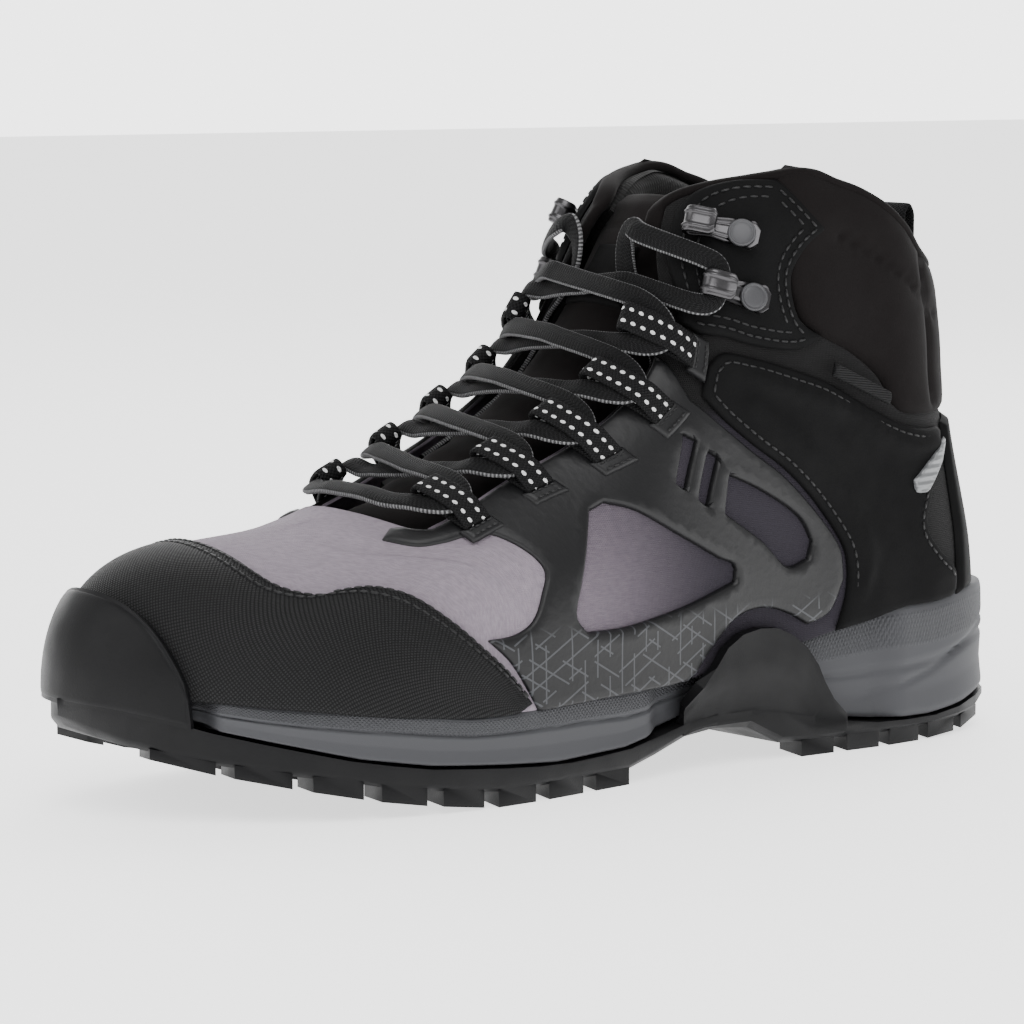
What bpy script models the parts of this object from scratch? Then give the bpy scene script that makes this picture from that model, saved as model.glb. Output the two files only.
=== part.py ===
"""A left mid-height hiking boot, modelled in millimetres and written to Blender in metres.

The boot stands on z = 0 with its toe towards -Y and its outer (lateral) side towards +X.
Lengths along the boot are given as t, the distance from the rear end of the sole.
The upper is one form: a closed shape drawn in side view (ridge, toe and heel lines) whose
half width falls to nothing along that outline. Every panel is an outline on that form with
a height above or below it, so the layers nest as they do on a real boot.
"""
import math

import bmesh
import bpy
import numpy as np
from mathutils import Vector
from mathutils.geometry import delaunay_2d_cdt

# ---------------------------------------------------------------- driving dimensions (mm)
MM = 0.001
LENGTH = 308.0
CENTRE_X = 2.98
TOE_TIP = 303.0
TOE_DEPTH = 70.0
HEEL_DEPTH = 36.0
HEEL_RADIUS = 37.0
OUTLINE_MARGIN = 0.0005
HEEL_ARC = HEEL_RADIUS * math.pi / 2
RIDGE_POWER = 2.4
TOE_POWER = 3.6
LUG_DEPTH = 4.0
SEAM = 0.8

TEXTILE = (0.0, 1.2)
FILM = (2.0, 1.0)
CUFF = (2.3, 1.0)
SADDLE = (2.4, 1.4)
STIFFENER = (-2.5, 1.0)
TOE_STIFFENER = (-3.0, 0.8)
LINING = (-4.5, 1.0)
TOE_LINING = (-4.3, 0.8)
COLLAR_PAD = (-6.6, 4.2)
TONGUE = (-6.2, 1.2)
TONGUE_PAD = (-8.8, 4.2)
BUMPER = (4.6, 2.2)

LACE_WIDTH = 4.4
LACE_THICK = 1.7
LACE_RINGS = 211
WEBBING_WIDTH = 7.4
WEBBING_THICK = 1.0
LOOP_LIFT = 5.25
HOOK_WIDTH = 7.4
BAR_LIFT = 2.8

# Side-view lines of the upper, as (t, z).
RIDGE = [(330, 73), (300, 72), (283, 71.5), (262, 70.5), (245, 71.5), (228, 76), (210, 84),
         (190, 95.5), (170, 108.5), (156, 119), (146, 131), (138, 142), (131, 154), (121, 166),
         (108, 181)]
HEEL_LINE = [(9.5, 30), (10, 43), (11.5, 56), (14.5, 70), (17.5, 83), (20, 95), (22, 106),
             (23, 118), (24.5, 129), (26.5, 140), (28, 155), (28, 185)]
FEATHER = [(306, 34), (294, 33), (282, 33), (260, 30.5), (238, 27.5), (216, 25.5), (197, 25.3),
           (170, 26.4), (146, 27), (130, 28), (112, 30), (93, 33), (66, 38), (53, 41), (41, 41.5),
           (28, 42.6), (0, 43)]
THROAT_EDGE = [(222, 74.5), (216, 73.5), (206, 77), (190, 84.5), (172, 92.5), (155, 102),
               (143, 112), (136, 124), (133, 136), (130, 147), (125, 157)]
THROAT_RIDGE = [(226, 76.8), (221, 79), (211, 83.5), (196, 91.8), (178, 103), (163, 113.5),
                (152.5, 123.5), (144.5, 133), (138, 142), (134, 149), (128, 158)]
COLLAR_TOP = [(125, 158), (121, 162), (111, 166.5), (101, 168.5), (95, 168.5), (88, 167),
              (79, 163.5), (71, 161), (62, 156.5), (53, 150), (46, 143.5), (38, 139.5),
              (31, 138), (26.3, 138)]
SHELL_SEAM = [(101, 166), (99, 150), (97, 136), (93, 126), (85, 121), (75, 116.5), (63, 108),
              (56, 99), (44, 97), (30, 97), (20.4, 97)]
VAMP_REAR = [(198, 26.2), (199, 38), (202, 52), (208, 66), (218, 72.5)]
CAP_REAR = [(196, 27), (205, 37), (213, 44), (221, 51), (230, 57.5), (238, 59.5), (246, 59),
            (254, 58), (263, 61)]
BUMPER_TOP = [(286.5, 34), (287, 37.5), (288.5, 43), (290, 48), (291.5, 52), (293.5, 55.5)]
WING_TOP = [(137, 19), (130, 28), (122, 36.5), (114, 39), (104, 38.6), (93, 32.4), (87, 25),
            (81, 17), (75, 11)]

# Half widths of the upper at a few lengths (columns) and heights (rows).
WIDTH_T = [0, 60, 90, 110, 130, 165, 200, 230, 260, 285, 300, 312]
WIDTH_Z = [30, 60, 90, 120, 150, 170]
WIDTH_LATERAL = [[37, 37, 38, 39.5, 42, 47.5, 51, 51.5, 48.5, 42, 36, 30],
                 [37.5, 38, 39, 41, 43.5, 49, 52, 52.5, 49.5, 43, 36, 30],
                 [36, 38, 40, 41, 42, 44, 46, 46, 46, 43, 36, 30],
                 [36, 38.5, 39.5, 39, 38.5, 38, 38, 38, 38, 38, 36, 30],
                 [35, 38, 38, 37, 36, 36, 36, 36, 36, 36, 36, 30],
                 [34, 36, 36, 35, 35, 35, 35, 35, 35, 35, 35, 30]]
WIDTH_MEDIAL = [[35, 34, 34, 34.5, 36, 41, 45, 46.5, 44, 39, 34, 30],
                [36, 36, 36, 37, 39, 43, 46.5, 47.5, 45, 40, 34, 30],
                [35, 37, 38, 39, 40, 42, 44, 44, 44, 40, 34, 30],
                [35, 38, 39, 38.5, 38, 38, 38, 38, 38, 38, 34, 30],
                [35, 38, 38, 37, 36, 36, 36, 36, 36, 36, 34, 30],
                [34, 36, 36, 35, 35, 35, 35, 35, 35, 35, 34, 30]]
CENTRE_T = [0, 60, 120, 200, 260, 300, 312]
CENTRE_X_OFFSET = [0, 0, 1, 2.5, 0.5, -5, -7]

# Plan outline of the sole as (t, x), lateral side then medial side, both from heel to toe.
SOLE_LATERAL = [(0, 0), (3, 14), (12, 25), (27, 34), (50, 38.5), (95, 40), (130, 42.5),
                (165, 49), (200, 55), (230, 55.6), (260, 49), (285, 34.5), (300, 19), (308, -4)]
SOLE_MEDIAL = [(0, 0), (3, -14), (12, -24), (27, -32), (50, -35), (95, -35), (130, -36),
               (165, -42), (200, -48.5), (230, -50), (260, -46), (285, -35.5), (300, -23),
               (308, -4)]
# Side-view heights along the sole, as (t, z).
TREAD = [(0, 8), (10, 4), (23, 1.5), (36, 0.6), (49, 0), (80, 0), (97, 0), (103, 9), (118, 11.8),
         (133, 11), (143, 5), (152, 0), (208, 0), (220, 1.5), (238, 3.9), (258, 8), (270, 10.5),
         (285, 14), (300, 18.5), (308, 23)]
TREAD_TOP = [(0, 11), (15, 10.3), (27, 8.4), (42, 6.9), (62, 7.2), (76, 9), (93, 12.5),
             (110, 15.5), (130, 15.5), (145, 12.5), (160, 9.8), (186, 9.1), (206, 10.6),
             (229, 12.6), (249, 15.8), (267, 20.2), (282, 24), (294, 28), (308, 31)]
DISH_FLOOR = [(0, 35), (30, 34.5), (60, 32.5), (90, 29), (120, 24.5), (150, 20.5), (180, 18.8),
              (206, 18.5), (230, 19.5), (250, 21.5), (270, 25), (290, 29.5), (308, 32)]

MATERIALS = {
    "outsole_rubber": ((0.020, 0.020, 0.021), 0.55, 0.0),
    "midsole_foam": ((0.135, 0.138, 0.148), 0.75, 0.0),
    "shank_plate": ((0.05, 0.05, 0.055), 0.50, 0.0),
    "insole_board": ((0.32, 0.27, 0.20), 0.85, 0.0),
    "footbed_foam": ((0.05, 0.05, 0.055), 0.90, 0.0),
    "ripstop_grey": ((0.26, 0.23, 0.26), 0.80, 0.0),
    "toe_cap_textile": ((0.022, 0.022, 0.024), 0.75, 0.0),
    "overlay_film": ((0.018, 0.018, 0.019), 0.42, 0.0),
    "saddle_nubuck": ((0.020, 0.020, 0.021), 0.80, 0.0),
    "stiffener": ((0.24, 0.22, 0.19), 0.80, 0.0),
    "lining_textile": ((0.03, 0.03, 0.03), 0.95, 0.0),
    "softshell": ((0.026, 0.023, 0.022), 0.85, 0.0),
    "webbing": ((0.016, 0.016, 0.017), 0.80, 0.0),
    "lace_cord": ((0.018, 0.018, 0.019), 0.80, 0.0),
    "hook_metal": ((0.20, 0.19, 0.20), 0.30, 1.0),
    "rivet_metal": ((0.22, 0.22, 0.23), 0.45, 0.8),
    "reflector_silver": ((0.55, 0.56, 0.57), 0.35, 0.3),
    "tag_black": ((0.015, 0.015, 0.016), 0.50, 0.0),
    "aglet_plastic": ((0.02, 0.02, 0.02), 0.35, 0.0),
}


# ---------------------------------------------------------------- small geometry helpers
def cubic(xs, ys, x):
    """Smooth curve through (xs, ys), evaluated at x."""
    xs = np.asarray(xs, float)
    ys = np.asarray(ys, float)
    slopes = np.gradient(ys, xs)
    x = np.clip(x, xs[0], xs[-1])
    i = np.clip(np.searchsorted(xs, x, side="right") - 1, 0, len(xs) - 2)
    h = xs[i + 1] - xs[i]
    s = (x - xs[i]) / h
    return ((2 * s**3 - 3 * s**2 + 1) * ys[i] + (s**3 - 2 * s**2 + s) * h * slopes[i]
            + (3 * s**2 - 2 * s**3) * ys[i + 1] + (s**3 - s**2) * h * slopes[i + 1])


def height_at(line, t):
    """Height z of a side-view line given as (t, z) points in any order."""
    ordered = sorted(line)
    return np.interp(t, [p[0] for p in ordered], [p[1] for p in ordered])


def smooth_line(points, count):
    """A smooth curve through the points, resampled evenly by length."""
    points = np.asarray(points, float)
    if len(points) > 2:
        steps = np.linalg.norm(np.diff(points, axis=0), axis=1)
        knots = np.concatenate([[0], np.cumsum(np.sqrt(steps))])
        fine = np.linspace(0, knots[-1], 40 * len(points))
        points = np.stack([cubic(knots, points[:, k], fine) for k in range(points.shape[1])], 1)
    return resample(points, count)


def resample(points, count):
    """Points spaced evenly along a polyline of any dimension."""
    steps = np.linalg.norm(np.diff(points, axis=0), axis=1)
    along = np.concatenate([[0], np.cumsum(steps)])
    wanted = np.linspace(0, along[-1], count)
    columns = [np.interp(wanted, along, points[:, k]) for k in range(points.shape[1])]
    return np.stack(columns, 1)


def line_distance(polyline, t, z):
    """Distance from each (t, z) to a polyline."""
    t = np.asarray(t, float)
    best = np.full(t.shape, 1e9)
    for (t0, z0), (t1, z1) in zip(polyline[:-1], polyline[1:]):
        dt, dz = t1 - t0, z1 - z0
        f = np.clip(((t - t0) * dt + (z - z0) * dz) / (dt * dt + dz * dz), 0, 1)
        best = np.minimum(best, np.hypot(t - t0 - f * dt, z - z0 - f * dz))
    return best


RIDGE_FINE = smooth_line(RIDGE, 90)


# ---------------------------------------------------------------- the form of the upper
def centre_line(t):
    """Sideways position of the form's middle plane: the toe swings inwards."""
    return cubic(CENTRE_T, CENTRE_X_OFFSET, t)


def half_width(t, z, side):
    """Half width at full section, from the width table of that side."""
    table = WIDTH_LATERAL if side > 0 else WIDTH_MEDIAL
    rows = np.stack([cubic(WIDTH_T, row, t) for row in table])
    z = np.clip(z, WIDTH_Z[0], WIDTH_Z[-1])
    i = np.clip(np.searchsorted(WIDTH_Z, z, side="right") - 1, 0, len(WIDTH_Z) - 2)
    low = np.take_along_axis(rows, i[None], 0)[0]
    high = np.take_along_axis(rows, i[None] + 1, 0)[0]
    zs = np.asarray(WIDTH_Z, float)
    f = (z - zs[i]) / (zs[i + 1] - zs[i])
    return low + (high - low) * f * f * (3 - 2 * f)


def heel_t(z):
    """Length position of the heel line at a height."""
    return cubic([p[1] for p in HEEL_LINE], [p[0] for p in HEEL_LINE], z)


def closeness(t, z):
    """1 on the side-view outline of the form, below 1 inside it."""
    ridge_depth = cubic([0, 135, 150, 175, 210, 330], [36, 36, 42, 52, 46, 42], t)
    a = np.clip(1 - line_distance(RIDGE_FINE, t, z) / ridge_depth, 0, 1)
    b = np.clip((t - TOE_TIP + TOE_DEPTH) / TOE_DEPTH, 0, None)
    c = np.clip(1 - (t - heel_t(z)) / HEEL_DEPTH, 0, None)
    return a**RIDGE_POWER + b**TOE_POWER + c**2


def on_form(t, z, side):
    """Point of the form's surface at (t, z) on one side, as (x, y, z)."""
    t = np.asarray(t, float)
    z = np.asarray(z, float)
    t, z = np.broadcast_arrays(t, z)
    width = half_width(t, z, side) * np.sqrt(np.clip(1 - closeness(t, z), 0, 1))
    return np.stack([centre_line(t) + side * width, LENGTH / 2 - t, z], -1)


def form_normal(t, z, side):
    """Outward unit normal of the form at (t, z), from small steps along it."""
    step = 0.25
    along = on_form(np.add(t, step), z, side) - on_form(np.subtract(t, step), z, side)
    up = on_form(t, np.add(z, step), side) - on_form(t, np.subtract(z, step), side)
    normal = np.cross(along, up)
    normal *= np.where(normal[..., :1] * side < 0, -1, 1)
    return normal / np.linalg.norm(normal, axis=-1, keepdims=True)


def is_inside(t, z):
    """True where a side-view place lies within the form's outline."""
    below_ridge = z < height_at(RIDGE, t)
    return bool(below_ridge and closeness(np.array([t]), np.array([z]))[0] < 1)


def outline_point(inside, outside):
    """Where the line from an inside point to an outside point crosses the form's outline."""
    low, high = 0.0, 1.0
    inside = np.asarray(inside, float)
    outside = np.asarray(outside, float)
    for _ in range(40):
        middle = (low + high) / 2
        if is_inside(*(inside + (outside - inside) * middle)):
            low = middle
        else:
            high = middle
    return inside + (outside - inside) * (low - OUTLINE_MARGIN)


def toe_outline(t_start, z_end, count=60, inward=0.0):
    """Side-view outline of the form from the ridge at t_start round the toe down to z_end.

    It can keep inward of the true edge, where the surface stands upright.
    """
    pivot = np.array([240.0, 40.0])
    first = math.atan2(float(height_at(RIDGE, t_start)) - pivot[1], t_start - pivot[0])
    last = math.atan2(z_end - pivot[1], TOE_TIP - pivot[0])
    rays = [(math.cos(a), math.sin(a)) for a in np.linspace(first, last, count)]
    return np.array([outline_point(pivot, pivot + 120 * np.array(ray)) - inward * np.array(ray)
                     for ray in rays])


# ---------------------------------------------------------------- grids on the form
def even_grid(grid, rows, columns):
    """Resample a fine grid of points evenly by real length in both directions."""
    grid = np.stack([resample(line, columns) for line in grid])
    return np.stack([resample(grid[:, k], rows) for k in range(columns)], 1)


def along_line(points, fractions):
    """Points at the given fractions of a smooth line's length."""
    line = smooth_line(points, 240)
    k = np.linspace(0, 1, len(line))
    return np.stack([np.interp(fractions, k, line[:, i]) for i in (0, 1)], 1)


def toe_patch(rear, low, outline, rows, columns):
    """Grid over the toe, filled in side view between four edges (a Coons patch).

    rear runs from the low corner up to the outline, low runs from that corner forward to the
    outline's end, and outline joins the two. The lateral half is followed by the medial half.
    """
    q = 1 - (1 - np.linspace(0, 1, 80))**2
    v = np.linspace(0, 1, 50)
    rear = [tuple(point) for point in rear] + [tuple(outline[0])]
    low = [tuple(point) for point in low] + [tuple(outline[-1])]
    back, front = along_line(rear, q)[None], along_line(low, q)[None]
    start, end = along_line([rear[0], low[0]], v)[:, None], along_line(outline, v)[:, None]
    q, v = q[None, :, None], v[:, None, None]
    corners = ((1 - v) * ((1 - q) * back[:, :1] + q * back[:, -1:])
               + v * ((1 - q) * front[:, :1] + q * front[:, -1:]))
    tz = (1 - v) * back + v * front + (1 - q) * start + q * end - corners
    lateral = on_form(tz[..., 0], tz[..., 1], 1)
    medial = on_form(tz[..., 0], tz[..., 1], -1)[:, ::-1]
    return even_grid(np.concatenate([lateral, medial], 1), rows, columns)


# ---------------------------------------------------------------- unrolled rear of the form
def unrolled(points):
    """Side-view points as (distance round from the heel's middle line, z)."""
    t, z = np.asarray(points, float).T
    depth = t - heel_t(z)
    angle = np.arccos(np.clip(1 - depth / HEEL_DEPTH, 0, 1))
    around = np.where(depth < HEEL_DEPTH, HEEL_RADIUS * angle, HEEL_ARC + depth - HEEL_DEPTH)
    return np.stack([around, z], 1)


def rolled(around, z):
    """Form point at a distance round from the heel: lateral where positive, medial below 0."""
    reach = np.abs(around)
    depth = np.where(reach < HEEL_ARC, HEEL_DEPTH * (1 - np.cos(reach / HEEL_RADIUS)),
                     reach - HEEL_ARC + HEEL_DEPTH)
    t = heel_t(z) + depth
    return np.where((around >= 0)[..., None], on_form(t, z, 1), on_form(t, z, -1))


def rolled_lifted(around, z, lift):
    """Form point at a distance round from the heel, at a height above the form."""
    step = 0.3
    forward = rolled(around + step, z) - rolled(around - step, z)
    up = rolled(around, z + step) - rolled(around, z - step)
    normal = np.cross(up, forward)
    normal /= np.linalg.norm(normal, axis=-1, keepdims=True)
    return rolled(around, z) + normal * lift


def wrap_grid(top, low, rows, columns):
    """Unrolled grid from a lateral front edge round the heel to the medial front edge."""
    lines = []
    for line in (top, low):
        lateral = unrolled(line)
        both = np.concatenate([lateral, lateral[::-1][1:] * [-1, 1]])
        lines.append(smooth_line(both, rows))
    f = np.linspace(0, 1, columns)[None, :, None]
    return lines[0][:, None] * (1 - f) + lines[1][:, None] * f


def grid_normals(grid):
    """Unit normals of a grid, pointing away from the boot's inside."""
    rows = np.gradient(grid, axis=0)
    columns = np.gradient(grid, axis=1)
    normals = np.cross(rows, columns)
    normals /= np.maximum(np.linalg.norm(normals, axis=-1, keepdims=True), 1e-9)
    core = grid.copy()
    core[..., 0] = centre_line(LENGTH / 2 - grid[..., 1])
    core[..., 2] = 45.0
    core[..., 1] = np.clip(grid[..., 1], LENGTH / 2 - 255, LENGTH / 2 - 60)
    votes = np.sum(normals * (grid - core), axis=-1)
    return normals if np.sum(votes) > 0 else -normals


# ---------------------------------------------------------------- meshes and objects
parts = None


def start_scene():
    """Empty the file and open the boot's collection."""
    global parts
    for obj in list(bpy.data.objects):
        bpy.data.objects.remove(obj)
    parts = bpy.data.collections.new("hiking_boot")
    bpy.context.scene.collection.children.link(parts)


def material(name):
    """Principled material from the table."""
    if name in bpy.data.materials:
        return bpy.data.materials[name]
    colour, roughness, metallic = MATERIALS[name]
    made = bpy.data.materials.new(name)
    made.use_nodes = True
    shader = made.node_tree.nodes["Principled BSDF"]
    shader.inputs["Base Color"].default_value = (*colour, 1)
    shader.inputs["Roughness"].default_value = roughness
    shader.inputs["Metallic"].default_value = metallic
    return made


def add_object(name, vertices, faces, material_name, origin=None):
    """New object from points in millimetres, with its faces turned outwards."""
    points = np.asarray(vertices, float) - np.array([CENTRE_X, 0, 0])
    start = np.zeros(3) if origin is None else np.asarray(origin, float) - [CENTRE_X, 0, 0]
    mesh = bpy.data.meshes.new(name)
    mesh.from_pydata([tuple(p) for p in (points - start) * MM], [], [list(f) for f in faces])
    work = bmesh.new()
    work.from_mesh(mesh)
    bmesh.ops.recalc_face_normals(work, faces=work.faces)
    if work.calc_volume(signed=True) < 0:
        bmesh.ops.reverse_faces(work, faces=work.faces)
    work.to_mesh(mesh)
    work.free()
    mesh.shade_smooth()
    mesh.set_sharp_from_angle(angle=math.radians(40))
    obj = bpy.data.objects.new(name, mesh)
    obj.location = Vector(start * MM)
    obj.data.materials.append(material(material_name))
    parts.objects.link(obj)
    return obj


def grid_faces(rows, columns, first=0, closed=False):
    """Quads of a grid of points, row by row; closed joins the last column to the first."""
    faces = []
    last = columns if closed else columns - 1
    for i in range(rows - 1):
        for j in range(last):
            k = (j + 1) % columns
            a, b = first + i * columns, first + (i + 1) * columns
            faces.append((a + j, a + k, b + k, b + j))
    return faces


def shell(name, grid, layer, material_name, origin=None):
    """Closed shell on a grid: outer face at layer[0] above it, layer[1] thick."""
    lift, thickness = layer
    normals = grid_normals(grid)
    outer = grid + normals * lift
    return two_faced(name, outer, outer - normals * thickness, material_name, origin)


def wrap(name, grid, layer, material_name):
    """Closed shell on an unrolled grid that goes round the heel."""
    lift, thickness = layer
    outer = rolled_lifted(grid[..., 0], grid[..., 1], lift)
    inner = rolled_lifted(grid[..., 0], grid[..., 1], lift - thickness)
    return two_faced(name, outer, inner, material_name)


def two_faced(name, outer, inner, material_name, origin=None):
    """Closed solid between two grids of equal size."""
    rows, columns = outer.shape[:2]
    outer = outer.reshape(-1, 3)
    inner = inner.reshape(-1, 3)
    faces = grid_faces(rows, columns) + [f[::-1] for f in grid_faces(rows, columns, len(outer))]
    rim = list(range(columns)) + [i * columns + columns - 1 for i in range(1, rows)]
    rim += [(rows - 1) * columns + j for j in range(columns - 2, -1, -1)]
    rim += [i * columns for i in range(rows - 2, 0, -1)]
    for a, b in zip(rim, rim[1:] + rim[:1]):
        faces.append((a, b, b + len(outer), a + len(outer)))
    return add_object(name, np.concatenate([outer, inner]), faces, material_name, origin)


def stack(name, rings, material_name, origin=None):
    """Closed solid from rings of equal count; its two ends are capped by strips across."""
    count = len(rings[0])
    faces = grid_faces(len(rings), count, closed=True)
    for first, flip in ((0, True), ((len(rings) - 1) * count, False)):
        for i in range(count // 2):
            a, b = i, i + 1
            c, d = (count - i - 1) % count, (count - i) % count
            face = [first + k for k in dict.fromkeys((a, b, c, d))]
            if len(face) > 2:
                faces.append(face[::-1] if flip else face)
    return add_object(name, np.concatenate(rings), faces, material_name, origin)


def ribbon(name, centres, normals, width, thickness, material_name, closed_ends=True):
    """Flat band swept along points: width along the surface, thickness along the normals."""
    centres = np.asarray(centres, float)
    tangents = np.gradient(centres, axis=0)
    tangents /= np.linalg.norm(tangents, axis=1, keepdims=True)
    normals = normals - tangents * np.sum(normals * tangents, 1, keepdims=True)
    normals /= np.linalg.norm(normals, axis=1, keepdims=True)
    sideways = np.cross(tangents, normals)
    corners = ((-1, -1), (1, -1), (1, 1), (-1, 1))
    rings = np.stack([centres + sideways * a * width / 2 + normals * b * thickness / 2
                      for a, b in corners], 1)
    vertices = rings.reshape(-1, 3)
    faces = grid_faces(len(centres), 4, closed=True)
    if closed_ends:
        end = len(vertices)
        faces += [(3, 2, 1, 0), (end - 4, end - 3, end - 2, end - 1)]
    return add_object(name, vertices, faces, material_name)


def closed_outline(runs, spacing):
    """Closed outline from smooth runs of unrolled points that meet at corners."""
    points = []
    for run in runs:
        run = np.asarray(run, float)
        length = np.sum(np.linalg.norm(np.diff(run, axis=0), axis=1))
        line = smooth_line(run, max(2, int(round(length / spacing)) + 1))
        points.extend(line[:-1])
    return np.array(points)


def inside_polygon(points, polygon):
    """True where a point lies inside a polygon."""
    x, y = points[:, 0], points[:, 1]
    hit = np.zeros(len(points), bool)
    for (x0, y0), (x1, y1) in zip(polygon, np.roll(polygon, -1, axis=0)):
        crosses = (y0 > y) != (y1 > y)
        at = x0 + (y - y0) * (x1 - x0) / np.where(y1 == y0, 1e-9, y1 - y0)
        hit ^= crosses & (x < at)
    return hit


def panel(name, outline, holes, layer, material_name, spacing=8.0):
    """Closed panel on the form, bounded by an unrolled outline and cut by holes."""
    loops = [outline] + holes
    low, high = outline.min(0), outline.max(0)
    ts = np.arange(low[0] + spacing / 2, high[0], spacing)
    zs = np.arange(low[1] + spacing / 2, high[1], spacing)
    grid = np.stack(np.meshgrid(ts, zs), -1).reshape(-1, 2)
    keep = inside_polygon(grid, outline)
    for hole in holes:
        keep &= ~inside_polygon(grid, hole)
    for loop in loops:
        closed = np.concatenate([loop, loop[:1]])
        keep &= line_distance(closed, grid[:, 0], grid[:, 1]) > spacing * 0.5
    vertices, edges = [], []
    for loop in loops:
        first = len(vertices)
        vertices.extend(loop)
        edges += [(first + i, first + (i + 1) % len(loop)) for i in range(len(loop))]
    vertices.extend(grid[keep])
    flat, _, triangles, _, _, _ = delaunay_2d_cdt([Vector(v) for v in vertices], edges, [], 0, 1e-4)
    flat = np.array([tuple(v) for v in flat])
    middles = np.array([flat[list(f)].mean(0) for f in triangles])
    good = inside_polygon(middles, outline)
    for hole in holes:
        good &= ~inside_polygon(middles, hole)
    triangles = [tuple(f) for f, ok in zip(triangles, good) if ok]
    lift, thickness = layer
    outer = rolled_lifted(flat[:, 0], flat[:, 1], lift)
    inner = rolled_lifted(flat[:, 0], flat[:, 1], lift - thickness)
    count = {}
    for face in triangles:
        for a, b in zip(face, face[1:] + face[:1]):
            count[(a, b)] = count.get((a, b), 0) + 1
    rim = [edge for edge in count if (edge[1], edge[0]) not in count]
    faces = triangles + [tuple(i + len(flat) for i in f[::-1]) for f in triangles]
    faces += [(b, a, a + len(flat), b + len(flat)) for a, b in rim]
    return add_object(name, np.concatenate([outer, inner]), faces, material_name)


# ---------------------------------------------------------------- sole unit
def sole_loop(inset, count=60):
    """Plan outline of the sole, from the heel's middle round the lateral side and back."""
    lateral = smooth_line(SOLE_LATERAL, 200)
    medial = smooth_line(SOLE_MEDIAL, 200)[::-1]
    half = count // 2 + 1
    loop = np.concatenate([resample(lateral, half), resample(medial, half)[1:-1]])
    return inset_loop(loop, inset)


def inset_loop(loop, inset):
    """Move a closed (t, x) loop inwards by a fixed or pointwise distance."""
    tangent = np.roll(loop, -1, axis=0) - np.roll(loop, 1, axis=0)
    tangent /= np.linalg.norm(tangent, axis=1, keepdims=True)
    inward = np.stack([tangent[:, 1], -tangent[:, 0]], 1)
    return loop + inward * np.reshape(inset, (-1, 1))


def form_loop(inset, height_line, count=60):
    """Plan loop of the upper's form at the heights of a side-view line, moved inwards."""
    ts = np.concatenate([np.linspace(0, 60, 240)[:-1], np.linspace(60, 240, 120)[:-1],
                         np.linspace(240, 304, 240)])
    zs = height_at(height_line, ts)
    keep = closeness(ts, zs) < 1
    sides = []
    for side in (1, -1):
        points = on_form(ts[keep], zs[keep], side)
        points = np.stack([LENGTH / 2 - points[:, 1], points[:, 0]], 1)
        ends = points[[0, -1]].copy()
        ends[:, 1] = centre_line(ends[:, 0])
        points = np.concatenate([ends[:1], points, ends[1:]])
        sides.append(resample(points, count // 2 + 1))
    return inset_loop(np.concatenate([sides[0], sides[1][::-1][1:-1]]), inset)


def ring(loop, z):
    """3-D ring from a (t, x) loop and a height or a side-view line."""
    heights = height_at(z, loop[:, 0]) if isinstance(z, list) else np.asarray(z, float)
    return np.stack([loop[:, 1], LENGTH / 2 - loop[:, 0], heights * np.ones(len(loop))], 1)


def raised(line, dz):
    """A side-view line moved up by dz."""
    return [(t, z + dz) for t, z in line]


def bump(t, start, end, ramp):
    """1 between start and end, falling to 0 over a ramp on both sides."""
    rise = np.clip((t - start + ramp) / ramp, 0, 1)
    fall = np.clip((end + ramp - t) / ramp, 0, 1)
    f = rise * fall
    return f * f * (3 - 2 * f)


def tread_base(t):
    """Underside of the sole between the lugs; the lugs are shallower at toe and heel."""
    depth = LUG_DEPTH * np.interp(t, [0, 20, 40, 250, 308], [0.4, 0.7, 1, 1, 0.4])
    arch = bump(t, 104, 132, 12)
    return height_at(TREAD, t) + depth * (1 - arch)


def solid_block(corners, z_low, z_high):
    """Eight points and six faces of a block with a polygon plan and sloping ends."""
    count = len(corners)
    low = [(x, LENGTH / 2 - t, z) for (t, x), z in zip(corners, z_low)]
    high = [(x, LENGTH / 2 - t, z) for (t, x), z in zip(corners, z_high)]
    faces = [tuple(range(count))[::-1], tuple(range(count, 2 * count))]
    faces += [(i, (i + 1) % count, (i + 1) % count + count, i + count) for i in range(count)]
    return low + high, faces


def lug_plans():
    """Plans of the tread lugs as (t, x) quads: edge lugs on both sides and middle bars."""
    quads = []
    edge = {1: smooth_line(SOLE_LATERAL, 200), -1: smooth_line(SOLE_MEDIAL, 200)}
    rows = [14, 30, 46, 62, 79, 158, 176, 194, 212, 230, 248, 266, 283]
    for side, line in edge.items():
        for t in rows:
            length = 12.0 if t < 100 else 13.0
            quad = []
            for dt, depth in ((0, 1.2), (length, 1.2), (length - 3, 15), (2, 15)):
                x = np.interp(t + dt, line[:, 0], line[:, 1])
                centre = centre_line(t + dt)
                edge_gap = depth if abs(x - centre) > depth + 3 else abs(x - centre) - 3
                quad.append((t + dt, x - side * edge_gap))
            quads.append(quad)
    for t in (36, 54, 72, 168, 186, 204, 222, 240, 258):
        middle = float(centre_line(t))
        width = 6.0 if t < 100 else 13.0
        quads.append([(t, middle - width), (t + 8, middle - width * 0.6),
                      (t + 8, middle + width * 0.6), (t, middle + width)])
    return quads


def tread_lugs():
    """All lugs as one set of blocks that reach up into the sole."""
    vertices, faces = [], []
    for quad in lug_plans():
        ts = np.array([p[0] for p in quad])
        points, block = solid_block(quad, height_at(TREAD, ts), tread_base(ts) + 0.8)
        faces += [tuple(i + len(vertices) for i in face) for face in block]
        vertices += points
    return vertices, faces


def bumper_grid():
    """Rubber toe bumper, from one side round the toe to the other."""
    low = [(286, 26), (292, 27.5), (298, 29)]
    outline = toe_outline(270, 29.5, 120)
    outline = outline[outline[:, 1] < 57]
    return toe_patch(BUMPER_TOP, low, outline, 6, 25)


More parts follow.
